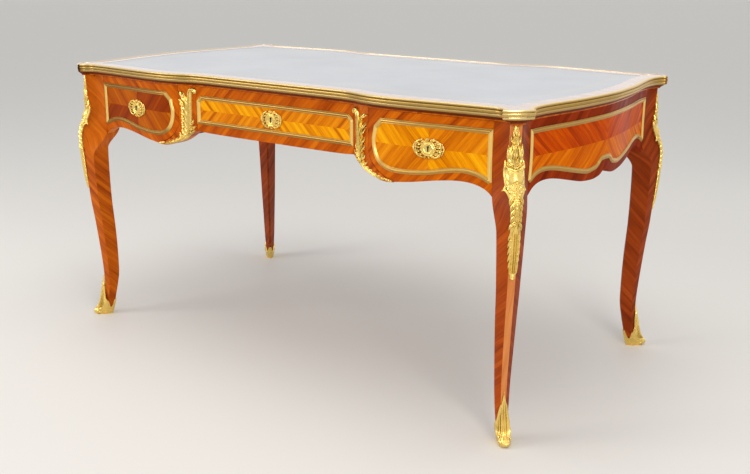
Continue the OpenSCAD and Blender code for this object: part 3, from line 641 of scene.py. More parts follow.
# Moulding under the edge: the profile (distance behind the rim, height) carried round the whole outline
def underMoulding():
    shell = newShell()
    profile = np.array([[20.4, 748], [8, 748], [8.2, 747], [9.2, 745.6], [11.5, 744.4], [13.5, 743.6],
                        [15.2, 742.6], [16, 741.6], [16.2, 741], [19.3, 740.6], [19.3, 737.2], [20.4, 737.2]])
    rings = [lifted(outline(k), z) for k, z in profile]
    grid = np.stack(rings + rings[:1], 0).transpose(1, 0, 2)[list(range(len(rings[0]))) + [0]]
    lengths = lengthsOf(grid[:, 0])
    uv = beside(np.broadcast_to(lengths[:, None], grid.shape[:2]), grid[..., 2]) * metre
    band = 9  # from this profile point on it is the veneered band under the moulding
    addGrid(shell, grid[:, :band + 1], uv=uv[:, :band + 1])
    addGrid(shell, grid[:, band:], uv=uv[:, band:], slot=1)
    return shell


makePiece("dark_moulding", underMoulding(), "desk", ["under_moulding"],
          ["moulding", "crossBand"])


# Corner of the rim moved in by k: where the front line and the end line cross, found in a few rounds from
# a place near it
def insetCorner(k):
    x, y = 680.0, 340.0
    for _ in range(12):
        x, y = float(rimX(y)) - k, float(rimY(x)) - k
    return x, y


# One quarter of the rim moved in by k, with the same number of points for every k
def insetQuarter(k, countX=50, countY=30):
    cornerX, cornerY = insetCorner(k)
    x = np.linspace(0, 1, countX) * cornerX
    y = np.linspace(1, 0, countY)[1:] * cornerY
    front = beside(x, rimY(x) - k)
    end = beside(rimX(y) - k, y)
    return np.concatenate([front, end])


# Closed ring at the height z, with its first point again at its end
def closedRing(quarter, z):
    ring = around(quarter)
    return lifted(np.concatenate([ring, ring[:1]]), z)


# Leather: flat rings further and further in from the rim, the first one a little lower as a rounded edge
def leatherTop():
    shell = newShell()
    border, top = table["border"], table["height"] - table["leatherDrop"]
    distances = [border, border + 0.4] + list(np.arange(50, 121, 5.0)) + [160, 220, 300]
    tops = [top - table["leatherRound"]] + [top] * (len(distances) - 1)
    rings = [closedRing(insetQuarter(k), z) for k, z in zip(distances, tops)]
    grid = np.stack(rings, 1)
    lengths = lengthsOf(rings[0])
    uv = np.stack([beside(lengths * metre, np.full(len(lengths), k * metre)) for k in distances], 1)
    addGrid(shell, grid, uv=uv)
    addLid(shell, rings[-1][:-1], uv=np.tile([0, 0.3], (len(rings[-1]) - 1, 1)))
    low = closedRing(insetQuarter(border), table["height"] - table["coverBottom"])
    addGrid(shell, np.stack([low, rings[0]], 1))
    addLid(shell, low[:-1])
    return shell


# Border: straight lines between the edge's inner line and the leather's outline, mitred at the corners
def borderVeneer():
    shell = newShell()
    edge, border = table["edgeWidth"], table["border"]
    front, cap, end = quarterParts(edge)
    cornerX, cornerY = insetCorner(border)
    x = np.where(front[:, 0] > cornerX - edge, cornerX, front[:, 0])
    y = np.where(end[:, 1] > cornerY - edge, cornerY, end[:, 1])
    outerQuarter = np.concatenate([front, cap, end])
    innerQuarter = np.concatenate([beside(x, rimY(x) - border), np.tile([cornerX, cornerY], (len(cap), 1)),
                                   beside(rimX(y) - border, y)])
    top = table["height"] - table["borderDrop"]
    low = table["height"] - table["coverBottom"]
    outer = closedRing(outerQuarter, top)
    inner = closedRing(innerQuarter, top)
    lengths = lengthsOf(outer) * metre
    steps = np.linspace(0, 1, 4)
    grid = np.stack([outer * (1 - s) + inner * s for s in steps], 1)
    uv = np.stack([beside(np.full(len(lengths), s * (border - edge) * metre), lengths) for s in steps], 1)
    addGrid(shell, grid, uv=uv)
    lowOuter, lowInner = outer - [0, 0, top - low], inner - [0, 0, top - low]
    addGrid(shell, np.stack([lowOuter, outer], 1))
    addGrid(shell, np.stack([inner, lowInner], 1))
    addGrid(shell, np.stack([lowInner, lowOuter], 1))
    return shell


makePiece("leather", leatherTop(), "desk", ["leather_top"], ["leather"])
makePiece("wood_border", borderVeneer(), "desk", ["top_border_veneer"], ["borderVeneer"])
print("top made")


# Leg: [height, measure] points of its section's corner, inner corner, half width and facet, and the
# corners of the square post that it grows into
leg = {
    "axis": [695.5, 364.5], "slope": 1.3, "chamfer": 0.9,
    "out": [[12, 19], [40, 15], [70, 12.5], [100, 11.5], [128, 11], [170, 13], [240, 19], [313, 26.5],
            [360, 32.5], [410, 36.5], [450, 40], [500, 43], [535, 44], [565, 42.5], [590, 36], [612, 27],
            [640, 18.5], [680, 19.5], [737, 22.5]],
    "in": [[12, 8], [39, 15], [60, 20], [93, 27], [120, 32], [147, 34], [214, 34], [280, 32],
           [358, 27.5], [440, 26], [520, 27], [560, 30]],
    "half": [[12, 12], [40, 14], [93, 17], [170, 20], [270, 24], [366, 27], [433, 29.5],
             [507, 32.5], [560, 35.5]],
    "facet": [[12, 4.5], [100, 5.5], [172, 6.5], [300, 7.5], [386, 8], [520, 9], [600, 11.5],
              [640, 13], [737, 13]],
    "post": {"front": (650, 366), "end": (710, 316), "backEnd": (654, 316), "backFront": (650, 320),
             "midFront": (686, 370), "midEnd": (712.5, 346)}}


# Place in the plan as (out along the leg's diagonal, across it)
def diagonal(x, y):
    return np.array([(x - leg["axis"][0] + y - leg["axis"][1]) / root2,
                     (x - leg["axis"][0] - y + leg["axis"][1]) / root2])


# Weighted middle of two rows of points
def mixed(a, b, t):
    return a * (1 - t[:, None]) + b * t[:, None]


# The eight corners: slanting faces below, which turn into the square post between the knee and the top
def legCorners(z):
    post = leg["post"]
    c, e = through(leg["out"], z), through(leg["facet"], z)
    b, a = through(leg["half"], z), through(leg["in"], z)
    m = c - leg["slope"] * (b - e)
    front = mixed(beside(m, -b), diagonal(*post["front"]), ease(500, 578, z))
    end = mixed(beside(m, b), diagonal(*post["end"]), ease(535, 592, z))
    square = ease(520, 582, z)
    backEnd = mixed(beside(-a, a * 0 + 3), diagonal(*post["backEnd"]), square)
    backFront = mixed(beside(-a, a * 0 - 3), diagonal(*post["backFront"]), square)
    hollow = ease(575, 650, z)
    first, second = beside(c, -e), beside(c, e)
    midFront = mixed((first + front) / 2 + [0.5, 0], diagonal(*post["midFront"]), hollow)
    midEnd = mixed((second + end) / 2 + [0.5, 0], diagonal(*post["midEnd"]), hollow)
    return first, second, midEnd, end, backEnd, backFront, front, midFront


# Point of a leg's section in the table's frame: d out along the diagonal, w across it, mirrored by signs
def toPlan(d, w, z, signs=(1, 1)):
    return beside(leg["axis"][0] + (d + w) / root2, -leg["axis"][1] - (d - w) / root2, z) * [*signs, 1]


# Face of the leg between two corners: a quadratic curve that passes the middle point
def legFace(shell, z, start, middle, end, count, slot, signs, offset):
    t = np.linspace(0, 1, count)[None, :, None]
    start, end = start[:, None], end[:, None]
    if middle is None:
        curve = start * (1 - t) + end * t
    else:
        control = 2 * middle[:, None] - (start + end) / 2
        curve = start * (1 - t) ** 2 + control * 2 * t * (1 - t) + end * t * t
    across = np.concatenate([np.zeros((len(z), 1)),
                             np.cumsum(np.linalg.norm(np.diff(curve, axis=1), axis=2), axis=1)], 1)
    heights = np.broadcast_to(z[:, None], across.shape)
    points = toPlan(curve[..., 0], curve[..., 1], heights, signs)
    uv = beside(across * metre, heights * metre + offset)
    addGrid(shell, points, uv=uv, slot=slot)


# Leg between its lowest and highest section. A narrow strip of lighter wood covers the front corner
def makeLeg(name, signs, offset, look):
    shell = newShell()
    z = np.linspace(leg["out"][0][0], leg["out"][-1][0], 150)
    first, second, midEnd, end, backEnd, backFront, front, midFront = legCorners(z)
    chamfer = leg["chamfer"]
    inFirst, inSecond = first + [0, chamfer], second - [0, chamfer]
    sideFirst = first + np.array([-chamfer, -chamfer * 0.6])
    sideSecond = second + np.array([-chamfer, chamfer * 0.6])
    faces = [(inFirst, None, inSecond, 6, 1), (inSecond, None, sideSecond, 2, 1),
             (sideSecond, midEnd, end, 13, 2), (end, None, backEnd, 5, 0), (backEnd, None, backFront, 2, 0),
             (backFront, None, front, 5, 0), (front, midFront, sideFirst, 13, 0),
             (sideFirst, None, inFirst, 2, 1)]
    for face in faces:
        legFace(shell, z, *face, signs, offset)
    for row in (0, -1):
        ring = np.stack([inFirst[row], inSecond[row], sideSecond[row], midEnd[row], end[row], backEnd[row],
                         backFront[row], front[row], midFront[row], sideFirst[row]])
        addLid(shell, toPlan(ring[:, 0], ring[:, 1], np.full(len(ring), z[row]), signs), slot=2)
    # The side face and the end lids take the darker copy of the veneer: painted shade
    makePiece(name, shell, "desk", [name.replace("cabriole", "leg")],
              [look, "legStrip", "legSide"], 24)


corners = {"front_right": (1, 1), "front_left": (-1, 1), "back_right": (1, -1), "back_left": (-1, -1)}
# The same veneer on every leg, lighter on the front left leg and darker on the back legs: painted light and
# shade
legLooks = ["legFace", "legFaceLeft", "legFaceBack", "legFaceBack"]
for i, (place, signs) in enumerate(corners.items()):
    makeLeg("cabriole_" + place, signs, 0.31 * i, legLooks[i])
print("legs made")


# Point on the leg at the distance s across from the middle of its outer facet, raised by h
def onLeg(s, z, h, values=leg, slope=1.3):
    c, e = through(values["out"], z), through(leg["facet"], z)
    angle = math.atan(slope)
    beyond = np.maximum(np.abs(s) - e, 0)
    side = np.sign(s)
    w = side * (np.minimum(np.abs(s), e) + beyond * math.cos(angle))
    d = c - beyond * math.sin(angle)
    tilt = angle * ease(-4, 5, np.abs(s) - e)
    return toPlan(d + h * np.cos(tilt), w + side * h * np.sin(tilt), z)


# Points of a spine at the shares t of its length, and its direction there
def spineAt(spine, t):
    spine = np.asarray(spine, float)
    x, y = profileAt(spine[:, 0], t), profileAt(spine[:, 1], t)
    tx, ty = np.gradient(x), np.gradient(y)
    size = np.hypot(tx, ty) + 1e-9
    return x[:, None], y[:, None], (tx / size)[:, None], (ty / size)[:, None]


# How far the edges of a leaf go under what carries it
sunk = -1.2


# Leaf in flat space (a across, b up, h out): a spine with a width and a crest along it. Its edge is cut into
# pointed lobes that lean towards the tip, and a rib slants from the spine out to each lobe. depth is how deep
# the two edges are cut; the ends and the edges sink into what carries the leaf
def leafShape(spine, width, crest, lobes=0, depth=(0.4, 0.4), lean=0.8, rib=0.3, groove=0.3, rows=36,
              columns=11, base=0.0, slant=0.9):
    t = np.linspace(0, 1, rows)[:, None]
    x, y, tx, ty = spineAt(spine, t[:, 0])
    u = np.concatenate([[-1], np.linspace(-1, 1, columns), [1]])[None, :]
    side = np.abs(u)
    w = np.maximum(profileAt(width, t[:, 0]), 0.05)[:, None]
    sweep, waves = 0.25, 0
    if lobes:
        phase = lobes * t - slant * side
        w = w * (1 - np.where(u < 0, *depth) * (1 - phase % 1.0) * side ** 2)
        sweep = lean * 0.5
        waves = -rib * np.cos(2 * math.pi * phase) * side ** 0.6 * (1.15 - side) * 1.6
    forward = sweep * w * side ** 1.5
    a = x - ty * u * w + tx * forward
    b = y + tx * u * w + ty * forward
    bulge = (1 - side ** 2.2) * 0.7 + 0.3
    h = base + profileAt(crest, t[:, 0])[:, None] * (bulge + waves - groove * np.exp(-(u / 0.16) ** 2))
    h[:, 0] = h[:, -1] = sunk
    h[0] = h[-1] = sunk
    return a, b, h


# Round cord in flat space along a spine, half sunk in what carries it
def cordShape(spine, radius, rows=40, columns=9, base=0.0, beads=0):
    t = np.linspace(0, 1, rows)
    x, y, tx, ty = spineAt(spine, t)
    r = profileAt(radius, t)
    if beads:
        r = r * (0.72 + 0.28 * np.abs(np.sin(math.pi * beads * t)))
    angle = np.linspace(-0.3, math.pi + 0.3, columns)[None, :]
    across = np.cos(angle) * r[:, None]
    return x - ty * across, y + tx * across, base + np.sin(angle) * r[:, None]


# Shape mirrored across its middle
def flipped(shape):
    a, b, h = shape
    return -a, b, h


# Corner mount: [height, measure] points of its half width and thickness, and the sizes of its relief
chute = {
    "half": [[400, 3], [404, 5.5], [411, 5.5], [415, 7.4], [430, 8.3], [445, 8.4], [470, 9.6], [482, 9.8],
             [500, 8.8], [513, 10], [528, 9], [545, 8.4], [562, 8.4], [580, 9.6], [590, 12], [600, 16],
             [607, 18], [620, 19], [632, 19.5], [642, 19.5], [650, 18], [658, 15.5], [668, 13.5], [682, 12.5],
             [690, 10], [697, 6.6], [705, 7.6], [712, 6.4], [720, 4.4], [730, 3.2], [736, 2.0], [739, 0.8]],
    "thick": [[400, 4], [430, 7], [480, 9], [525, 10], [560, 12], [590, 14], [612, 13], [640, 10.5],
              [700, 6.5], [739, 2]],
    "low": 400, "high": 739, "slope": 1.15, "carry": 0.72, "scaleTall": 5.4, "scaleWide": 5.6,
    "boss": {"level": 624, "half": 13.5, "tall": 15.5, "rise": 4.6}}


# Thickness of the corner mount's plate over the leg
def plateHeight(s, z):
    half, thick = through(chute["half"], z), through(chute["thick"], z)
    return thick * (1 - 0.62 * np.clip(np.abs(s) / half, 0, 1) ** 2.2)


# Plate of the corner mount: a smooth boss at the knee with scales rising into it, two plain bands beside a
# row of beads down the husk, and fine ridges along the tail
def chutePlate():
    z = np.linspace(chute["low"], chute["high"], 440)[:, None]
    u = np.concatenate([[-1], np.linspace(-1, 1, 45), [1]])[None, :]
    half = through(chute["half"], z)
    s = u * half
    h = plateHeight(s, z) * np.ones_like(u)
    row = np.floor(z / chute["scaleTall"])
    down = z / chute["scaleTall"] - row
    scales = np.abs(np.cos(math.pi * (s / chute["scaleWide"] + 0.5 * row))) ** 0.8
    scales = scales * (0.3 + 0.7 * (1 - down)) * ease(0, 0.2, down)
    top = 620 - 0.8 * np.abs(s)
    husk = ease(570, 580, z) * (1 - ease(-2, 2, z - top))
    h = h + husk * (3.4 * scales - 2.0)
    bands = ease(528, 534, z) * (1 - ease(570, 582, z))
    h = h + bands * (2.4 * np.cos(math.pi * np.clip((np.abs(s) - 5.4) / 5.2, -0.5, 0.5)) - 1.9)
    size = chute["boss"]
    boss = np.clip(1 - (s / size["half"]) ** 2 - ((z - size["level"]) / size["tall"]) ** 2, 0, 1) ** 0.5
    h = h + size["rise"] * boss * ease(-3, 3, z - top)
    tail = 1 - ease(505, 514, z)
    h = h + tail * ease(412, 418, z) * 1.5 * np.cos(2 * math.pi * 2 * u)
    h = h + (1 - ease(411, 414, z)) * (1.4 * np.abs(np.sin(math.pi * (z - 400.5) / 4.6)) + 0.6)
    h[:, 0] = h[:, -1] = -2.0
    h[0] = h[-1] = -1.5
    return s, z * np.ones_like(s), h


def chuteLeaves():
    shapes = []
    spray = [(0, 644), (-3, 662), (-0.5, 680), (2.6, 697), (2.4, 711), (-1.6, 724), (0.9, 739)]
    shapes.append(leafShape(spray, [5, 6.4, 6, 5, 4.6, 3.4, 0.3], [6.5, 7.2, 6.4, 5.6, 4.8, 3.8, 1], 4,
                            rows=120, columns=15, base=0.2, rib=0.16, groove=0.3))
    pairs = [
        ([(5, 646), (10.5, 661), (13.2, 677), (13.8, 696)], [4.6, 5.2, 3.8, 0.3], [4.5, 5.4, 4.4, 1.4], 3),
        ([(2.5, 654), (7.6, 667), (9.4, 680), (9.6, 694)], [4.2, 4.6, 3.4, 0.3], [5.4, 6.4, 5, 1.6], 2),
        ([(2, 668), (5, 680), (5.6, 691), (8.6, 703)], [3.4, 3.8, 2.8, 0.3], [5.4, 6.2, 5, 1.6], 2),
        ([(10, 640), (15, 646), (17.8, 653), (18.8, 662)], [4, 3.8, 2.8, 0.3], [5.5, 6.6, 5.4, 1.6], 2),
        ([(1, 690), (5.4, 697), (8.8, 703), (10.4, 713)], [3, 3.4, 2.6, 0.3], [4.5, 5.2, 4, 1.2], 2),
        ([(1, 704), (4, 710), (5.2, 717), (5.4, 727)], [2.6, 2.8, 2.2, 0.3], [4, 4.8, 3.6, 1], 0),
        ([(1, 717), (2.8, 722), (3.2, 728), (3.8, 734)], [1.8, 2, 1.5, 0.3], [3.4, 3.8, 2.8, 1], 0),
        ([(3.4, 641), (7, 648), (8.8, 656), (9, 667)], [3.4, 4, 3, 0.3], [6, 7.4, 6, 2], 2),
        ([(1, 604), (5, 600), (9, 593), (11, 584)], [2.4, 3, 2.4, 0.4], [3, 3.4, 2.8, 1], 2),
        ([(7, 590), (9.6, 582), (11, 575), (11.6, 566)], [2.2, 2.8, 2.2, 0.4], [5, 6.4, 5.4, 1.6], 0),
        ([(5.6, 576), (8, 568), (9.4, 561), (10, 552)], [2.2, 2.8, 2.2, 0.4], [5, 6.4, 5.4, 1.6], 0),
        ([(5.2, 562), (7.4, 554), (8.8, 547), (9.4, 538)], [2.2, 2.8, 2.2, 0.4], [5, 6.4, 5.4, 1.6], 0),
        ([(5, 549), (7.2, 542), (8.6, 535), (9.2, 527)], [2.2, 2.8, 2.2, 0.4], [4.8, 6, 5, 1.6], 0),
        ([(2, 536), (6.5, 529), (10, 522), (12.4, 512)], [3.2, 3.6, 2.8, 0.3], [4, 5, 4, 1.2], 3),
        ([(0.8, 534), (3.4, 525), (5.6, 516), (7, 506)], [2.6, 3, 2.4, 0.3], [4.6, 5.4, 4.2, 1.4], 2),
        ([(8.2, 510), (9.6, 502), (11.4, 496), (13, 489)], [1.6, 2, 1.6, 0.3], [1.4, 1.8, 1.6, 0.6], 0),
        ([(8.4, 494), (9.8, 486), (11.6, 480), (13.2, 473)], [1.6, 2, 1.6, 0.3], [1.4, 1.8, 1.6, 0.6], 0),
        ([(8.4, 478), (9.6, 470), (11.2, 464), (12.6, 457)], [1.6, 2, 1.6, 0.3], [1.4, 1.8, 1.6, 0.6], 0),
        ([(7.8, 462), (9, 454), (10.4, 448), (11.6, 441)], [1.5, 1.9, 1.5, 0.3], [1.3, 1.7, 1.5, 0.6], 0),
        ([(7, 446), (8, 438), (9.2, 432), (10.2, 426)], [1.4, 1.8, 1.4, 0.3], [1.2, 1.6, 1.4, 0.6], 0)]
    for spine, width, crest, lobes in pairs:
        shape = leafShape(spine, width, crest, lobes, rows=14 + 10 * max(lobes, 1), base=0.0, rib=0.14,
                          groove=0.3)
        shapes += [shape, flipped(shape)]
    scrolls = [
        ([(15, 652), (19.4, 645), (20.6, 632), (19.4, 618), (18.8, 607), (22.5, 600.5), (30, 595.5)],
         [1.4, 2.7, 3.2, 3.0, 2.8, 2.8, 0.9]),
        ([(30, 595.5), (22, 598.5), (15.5, 594), (11.4, 584), (9.4, 570), (8.6, 552), (8.8, 534)],
         [0.9, 2.8, 3.0, 2.6, 2.2, 1.9, 1.4])]
    for spine, radius in scrolls:
        shape = cordShape(spine, radius, rows=60, base=0.2)
        shapes += [shape, flipped(shape)]
    shapes.append(cordShape([(-18, 652), (-11, 644), (0, 640), (11, 644), (18, 652)],
                            [0.9, 2.0, 2.5, 2.0, 0.9], base=2.6))
    shapes.append(cordShape([(-14, 655.5), (-8, 649), (0, 646), (8, 649), (14, 655.5)],
                            [0.7, 1.2, 1.5, 1.2, 0.7], base=4.6))
    shapes.append(cordShape([(0, 584), (0, 566), (0, 548), (0, 530)], [1.8, 2.6, 2.4, 1.6], rows=110,
                            base=0.4, beads=6))
    return shapes


# Corner mount: the plate, and the leaves and scrolls raised by a part of its thickness
def makeChute(name, signs):
    shell = newShell()
    slope, carry = chute["slope"], chute["carry"]
    bare = mirrored(lambda s, z, h: onLeg(s, z, h, slope=slope), *signs)
    raised = mirrored(lambda s, z, h: onLeg(s, z, h + carry * plateHeight(s, z), slope=slope), *signs)
    addRelief(shell, *chutePlate(), bare)
    for shape in chuteLeaves():
        addRelief(shell, *shape, raised)
    makePiece(name, shell, "desk", [name.replace("acanthus", "chute")], ["gilt"], 70,
              join=False)


for place, signs in corners.items():
    makeChute("acanthus_" + place, signs)
print("corner mounts made")


# Shoe: [height, measure] points like the leg's, the heights of its rim, and its scrolls and shell
shoe = {
    "out": [[0, 38], [5, 47], [9, 49.5], [14, 47], [22, 38.5], [32, 31], [44, 27], [60, 22.5],
            [88, 18], [122, 13]],
    "half": [[0, 10.6], [6, 12.6], [14, 14.6], [34, 17.5], [70, 19], [96, 20]],
    "in": [[0, 6], [10, 10], [39, 18], [55, 22], [70, 24.5]],
    "even": 14.0, "tip": 123.0, "rim": [95, 95, 52, 44, 22, 46, 46, 22, 44, 52],
    "scroll": {"out": 31.0, "up": 12.0, "radius": 8.5, "thick": 2.6, "aside": 12.6},
    "shell": {"out": 34, "reach": 14.4, "half": 12.4, "tall": 20, "flutes": 5}}


# Shoe: a shell round the foot. Ten corners run round it, and each has a rim height of its own: a leaf tip in
# front, a dip in the middle of each inner face and a smaller tip over the heel
def shoeCorners(z):
    c, b, a = through(shoe["out"], z), through(shoe["half"], z), through(shoe["in"], z)
    e = np.minimum(through(leg["facet"], z) + 1, b * 0.8)
    m = through(leg["out"], z) - leg["slope"] * (through(leg["half"], z) - through(leg["facet"], z)) + 1.5
    flip = np.array([1, -1])
    second = beside(c, e)
    toe = second * 0.1 + beside(c - leg["slope"] * (b - e), b) * 0.9
    side, back = beside(m, b), beside(-a, a * 0 + 3)
    middle = (side + back) / 2 + [-0.6, 1.2]
    half = [second, toe, side, middle, back]
    return [second * flip, *half, *[corner * flip for corner in half[:0:-1]]]


def makeSabot(name, signs):
    shell = newShell()
    lowest = 0.05
    level = np.linspace(0, 1, 60) * shoe["tip"]
    even, count = shoe["even"], 10
    rim = np.array(shoe["rim"], float)
    share = np.linspace(0, 1, count, endpoint=False)
    soft = share * share * (3 - 2 * share)
    tops = (rim[:, None] * (1 - soft) + np.roll(rim, -1)[:, None] * soft).ravel()
    across = np.tile(share, len(rim))
    tip = np.abs(np.concatenate([np.arange(count) - count / 2, 0 * tops[count:]])) / (count / 2)
    tops[:count] = rim[0] + (shoe["tip"] - rim[0]) * (1 - tip[:count]) ** 1.3
    z = np.where(level[:, None] <= even, level[:, None],
                 even + (tops[None, :] - even) * (level[:, None] - even) / (shoe["tip"] - even))
    corner = np.repeat(np.arange(len(rim)), count)
    sections = []
    for k, share in enumerate(across):
        ring = shoeCorners(z[:, k])
        sections.append(ring[corner[k]] * (1 - share) + ring[(corner[k] + 1) % len(rim)] * share)
    sections = np.stack(sections, 1)
    bulge = np.where(corner == 0, 4 * across * (1 - across), 0)
    sections = sections + bulge[None, :, None] * [1.2, 0]
    lip = np.concatenate([sections[-1:] * 0.8, z[-1:, :, None]], -1)
    grid = np.concatenate([np.concatenate([sections, z[..., None]], -1), lip], 0)
    points = toPlan(grid[..., 0], grid[..., 1], grid[..., 2], signs)
    addGrid(shell, points, wrap=True)
    addLid(shell, points[0])
    onShoe = mirrored(lambda s, z, h: onLeg(s, z, h, values=shoe), *signs)
    ribs = [([(0, 19), (0, 45), (0, 85), (0, 126)], [1.7, 1.9, 1.7, 0.3], [4.8, 5.4, 4.8, 1.2]),
            ([(4.8, 19), (6, 45), (5, 75), (2, 107)], [1.5, 1.8, 1.6, 0.3], [4.4, 5.2, 4.4, 1]),
            ([(9.6, 20), (11, 40), (9.8, 60), (5.6, 91)], [1.5, 1.9, 1.6, 0.3], [4, 4.8, 4.2, 1]),
            ([(14.2, 21), (15.8, 36), (14.6, 50), (10, 74)], [1.5, 1.9, 1.6, 0.3], [3.6, 4.4, 3.8, 1]),
            ([(18.4, 22), (19.8, 31), (19, 42), (14.4, 60)], [1.5, 1.9, 1.6, 0.3], [3.2, 4, 3.4, 0.8]),
            ([(22.6, 22), (23.6, 30), (22.6, 39), (19, 51)], [1.6, 2.1, 1.8, 0.3], [2.2, 2.8, 2.4, 0.8])]
    for spine, width, crest in ribs:
        shape = leafShape(spine, width, crest, rows=40, columns=9, groove=0.0, base=-0.4)
        addRelief(shell, *shape, onShoe)
        if spine[0][0]:
            addRelief(shell, *flipped(shape), onShoe)
    scroll = shoe["scroll"]
    for side in (1, -1):
        turn = np.linspace(0, 3.4 * math.pi, 60)
        radius = scroll["radius"] * np.exp(-turn * 0.15)
        cosTurn, sinTurn = np.cos(turn + 0.6)[:, None], np.sin(turn + 0.6)[:, None]
        d = scroll["out"] + radius[:, None] * cosTurn
        z = np.clip(scroll["up"] + radius[:, None] * sinTurn, 1.2, 60)
        thick = scroll["thick"] * np.exp(-turn * 0.09)[:, None]
        angle = np.linspace(0, 2 * math.pi, 10)[None, :-1]
        tube = toPlan(d + thick * np.cos(angle) * cosTurn,
                      side * (scroll["aside"] + thick * 0.9 * np.sin(angle)) * np.ones_like(d),
                      np.maximum(z + thick * np.cos(angle) * sinTurn, lowest), signs)
        addGrid(shell, tube, wrap=True)
    fan = shoe["shell"]
    across = np.linspace(-1, 1, 71)[None, :]
    down = np.linspace(0, 1, 26)[:, None]
    flute = 2.2 * np.abs(np.sin(across * fan["flutes"] / 2 * math.pi)) * np.sin(down * math.pi)
    swell = fan["reach"] * np.sin(math.pi * (0.1 + 0.84 * down)) ** 0.7
    reach = fan["out"] + (swell + flute) * (1 - 0.75 * across ** 4)
    z = np.maximum(0.6 + fan["tall"] * down + 0 * across, lowest)
    addGrid(shell, toPlan(reach, across * fan["half"] * (1 - 0.1 * down), z, signs))
    makePiece(name, shell, "desk", [name.replace("shoe", "sabot")], ["gilt"], 60)


for place, signs in corners.items():
    makeSabot("shoe_" + place, signs)
print("shoes made")


# Point on the front at x and z, raised by h from the face
def onFront(x, z, h):
    return beside(x, -(frontFace(x) + h), z)


# Point on an end at y and z, raised by h from the face
def onEnd(y, z, h):
    return beside(endFace(y) + h, y, z)


# Distance of points inside a closed outline, negative outside it
def signedDistance(points, ring):
    start = np.asarray(ring, float)
    end = np.roll(start, -1, axis=0)
    edge = end - start
    offset = points[:, None, :] - start[None]
    t = np.clip(np.sum(offset * edge, -1) / np.sum(edge * edge, -1), 0, 1)
    distance = np.min(np.linalg.norm(offset - t[..., None] * edge, axis=-1), axis=1)
    crosses = (start[:, 1] > points[:, 1:2]) != (end[:, 1] > points[:, 1:2])
    with np.errstate(divide="ignore", invalid="ignore"):
        at = start[:, 0] + (points[:, 1:2] - start[:, 1]) * edge[:, 0] / edge[:, 1]
    inside = np.sum(crosses & (points[:, :1] < at), axis=1) % 2 == 1
    return np.where(inside, distance, -distance)


# Board whose face follows a place function between a lower and an upper line. The face's edges are rounded
# by r where soft says so (left, right, low, high)
def addBoard(shell, a, low, high, depth, place, ring, middle, soft=(1, 1, 1, 1), r=0.9, rows=22, slot=0):
    a, low = np.asarray(a, float), np.asarray(low, float)
    high = np.broadcast_to(np.asarray(high, float), low.shape)
    near = np.array([0, 0.12, 0.5, 1.0]) * r
    inner = np.linspace(0, 1, rows)[1:-1]
    lift = np.concatenate([np.zeros(4), inner, np.ones(4)])
    shift = np.concatenate([near, inner * 0, -near[::-1]])
    z = low[:, None] * (1 - lift) + high[:, None] * lift + shift
    columns = np.broadcast_to(a[:, None], z.shape)
    edges = [columns - a[0], a[-1] - columns, z - low[:, None], high[:, None] - z]
    drop = np.zeros_like(z)
    for edge, use in zip(edges, soft):
        if use:
            near = np.clip(1 - edge / r, 0, 1)
            drop = np.maximum(drop, r * (1 - np.sqrt(np.maximum(1 - near * near, 0))))
    points = place(columns, z, -drop)
    flat = beside(columns.ravel(), z.ravel())
    zone = signedDistance(flat, ring) * metre if ring is not None else None
    uv = beside(columns - middle[0], z - middle[1]) * metre
    addGrid(shell, points, uv=uv, zone=zone, slot=slot)
    back = place(columns, z, 0 * drop - depth(columns))
    addGrid(shell, back, uv=uv, zone=None if zone is None else zone - 1, slot=slot)
    for cut in (np.s_[0, :], np.s_[-1, :], np.s_[:, 0], np.s_[:, -1]):
        addGrid(shell, np.stack([points[cut], back[cut]], 1), slot=slot,
                zone=np.full((len(points[cut]), 2), -1))


# Thickness of the fronts: from the bowed face back to one flat plane
def frontDepth(x):
    return frontFace(x) - table["frontBack"]


# The columns a with more of them within r of both ends, for the rounded edges
def softColumns(a, r=0.9):
    near = np.array([0.12, 0.5, 1.0]) * r
    return np.unique(np.concatenate([a, a[0] + near, a[-1] - near]))


# Lower lines of the fronts and ends: [distance from the middle, height] points
apron = {
    "side": [[402, 572.4], [450, 578.5], [500, 587], [545, 593], [575, 594.5], [600, 592.5],
             [622, 587], [638, 579], [650, 569]],
    "knee": [[268, 617], [282, 609], [296, 600], [320, 586], [350, 574.5], [376, 570], [399, 570.9]],
    "centre": [[0, 613], [150, 613], [230, 614], [268, 617]],
    "end": [[0, 583.5], [9, 581.5], [22, 573.5], [42, 569], [65, 567.5], [110, 571], [165, 583],
            [205, 592], [240, 596.5], [272, 594], [298, 584], [316, 570]],
    "kneeCorner": [[321.5, 645], [325, 596.2], [402, 572.4]],
    "stileCorner": [[320.8, 645], [324.3, 595.2], [399, 571.8]]}

# Brass frames: their lower lines, the curves at their sides, and the middles of the panels inside them
fillet = {
    "sideLow": [[400, 595], [425, 594.3], [450, 595.5], [495, 600.5], [527, 607], [560, 612.5],
                [588, 613.2], [615, 608], [641, 597]],
    "endLow": [[60, 588], [82, 585.5], [108, 589], [172, 603], [215, 612.5], [252, 616.5],
               [282, 612], [308, 599]],
    "sideLeft": [[335, 668], [336, 600], [400, 595]], "sideRight": [[649.3, 602], [647, 660], [648.6, 718]],
    "sideTop": [[362.7, 718], [342, 698]], "sideMiddle": (491, 660),
    "centre": [[-266, 636], [266, 636], [266, 699], [252, 713], [-252, 713], [-266, 699]],
    "centreMiddle": (0, 674.5), "endTip": [[0, 608], [21, 606.5]],
    "endHollow": [[30, 600], [40, 589.5], [60, 588]], "endSide": [[317, 606], [310.5, 655], [315, 718]],
    "endMiddle": (0, 655)}

kneeCorner = bow(*apron["kneeCorner"], 26)
stileCorner = bow(*apron["stileCorner"], 26)


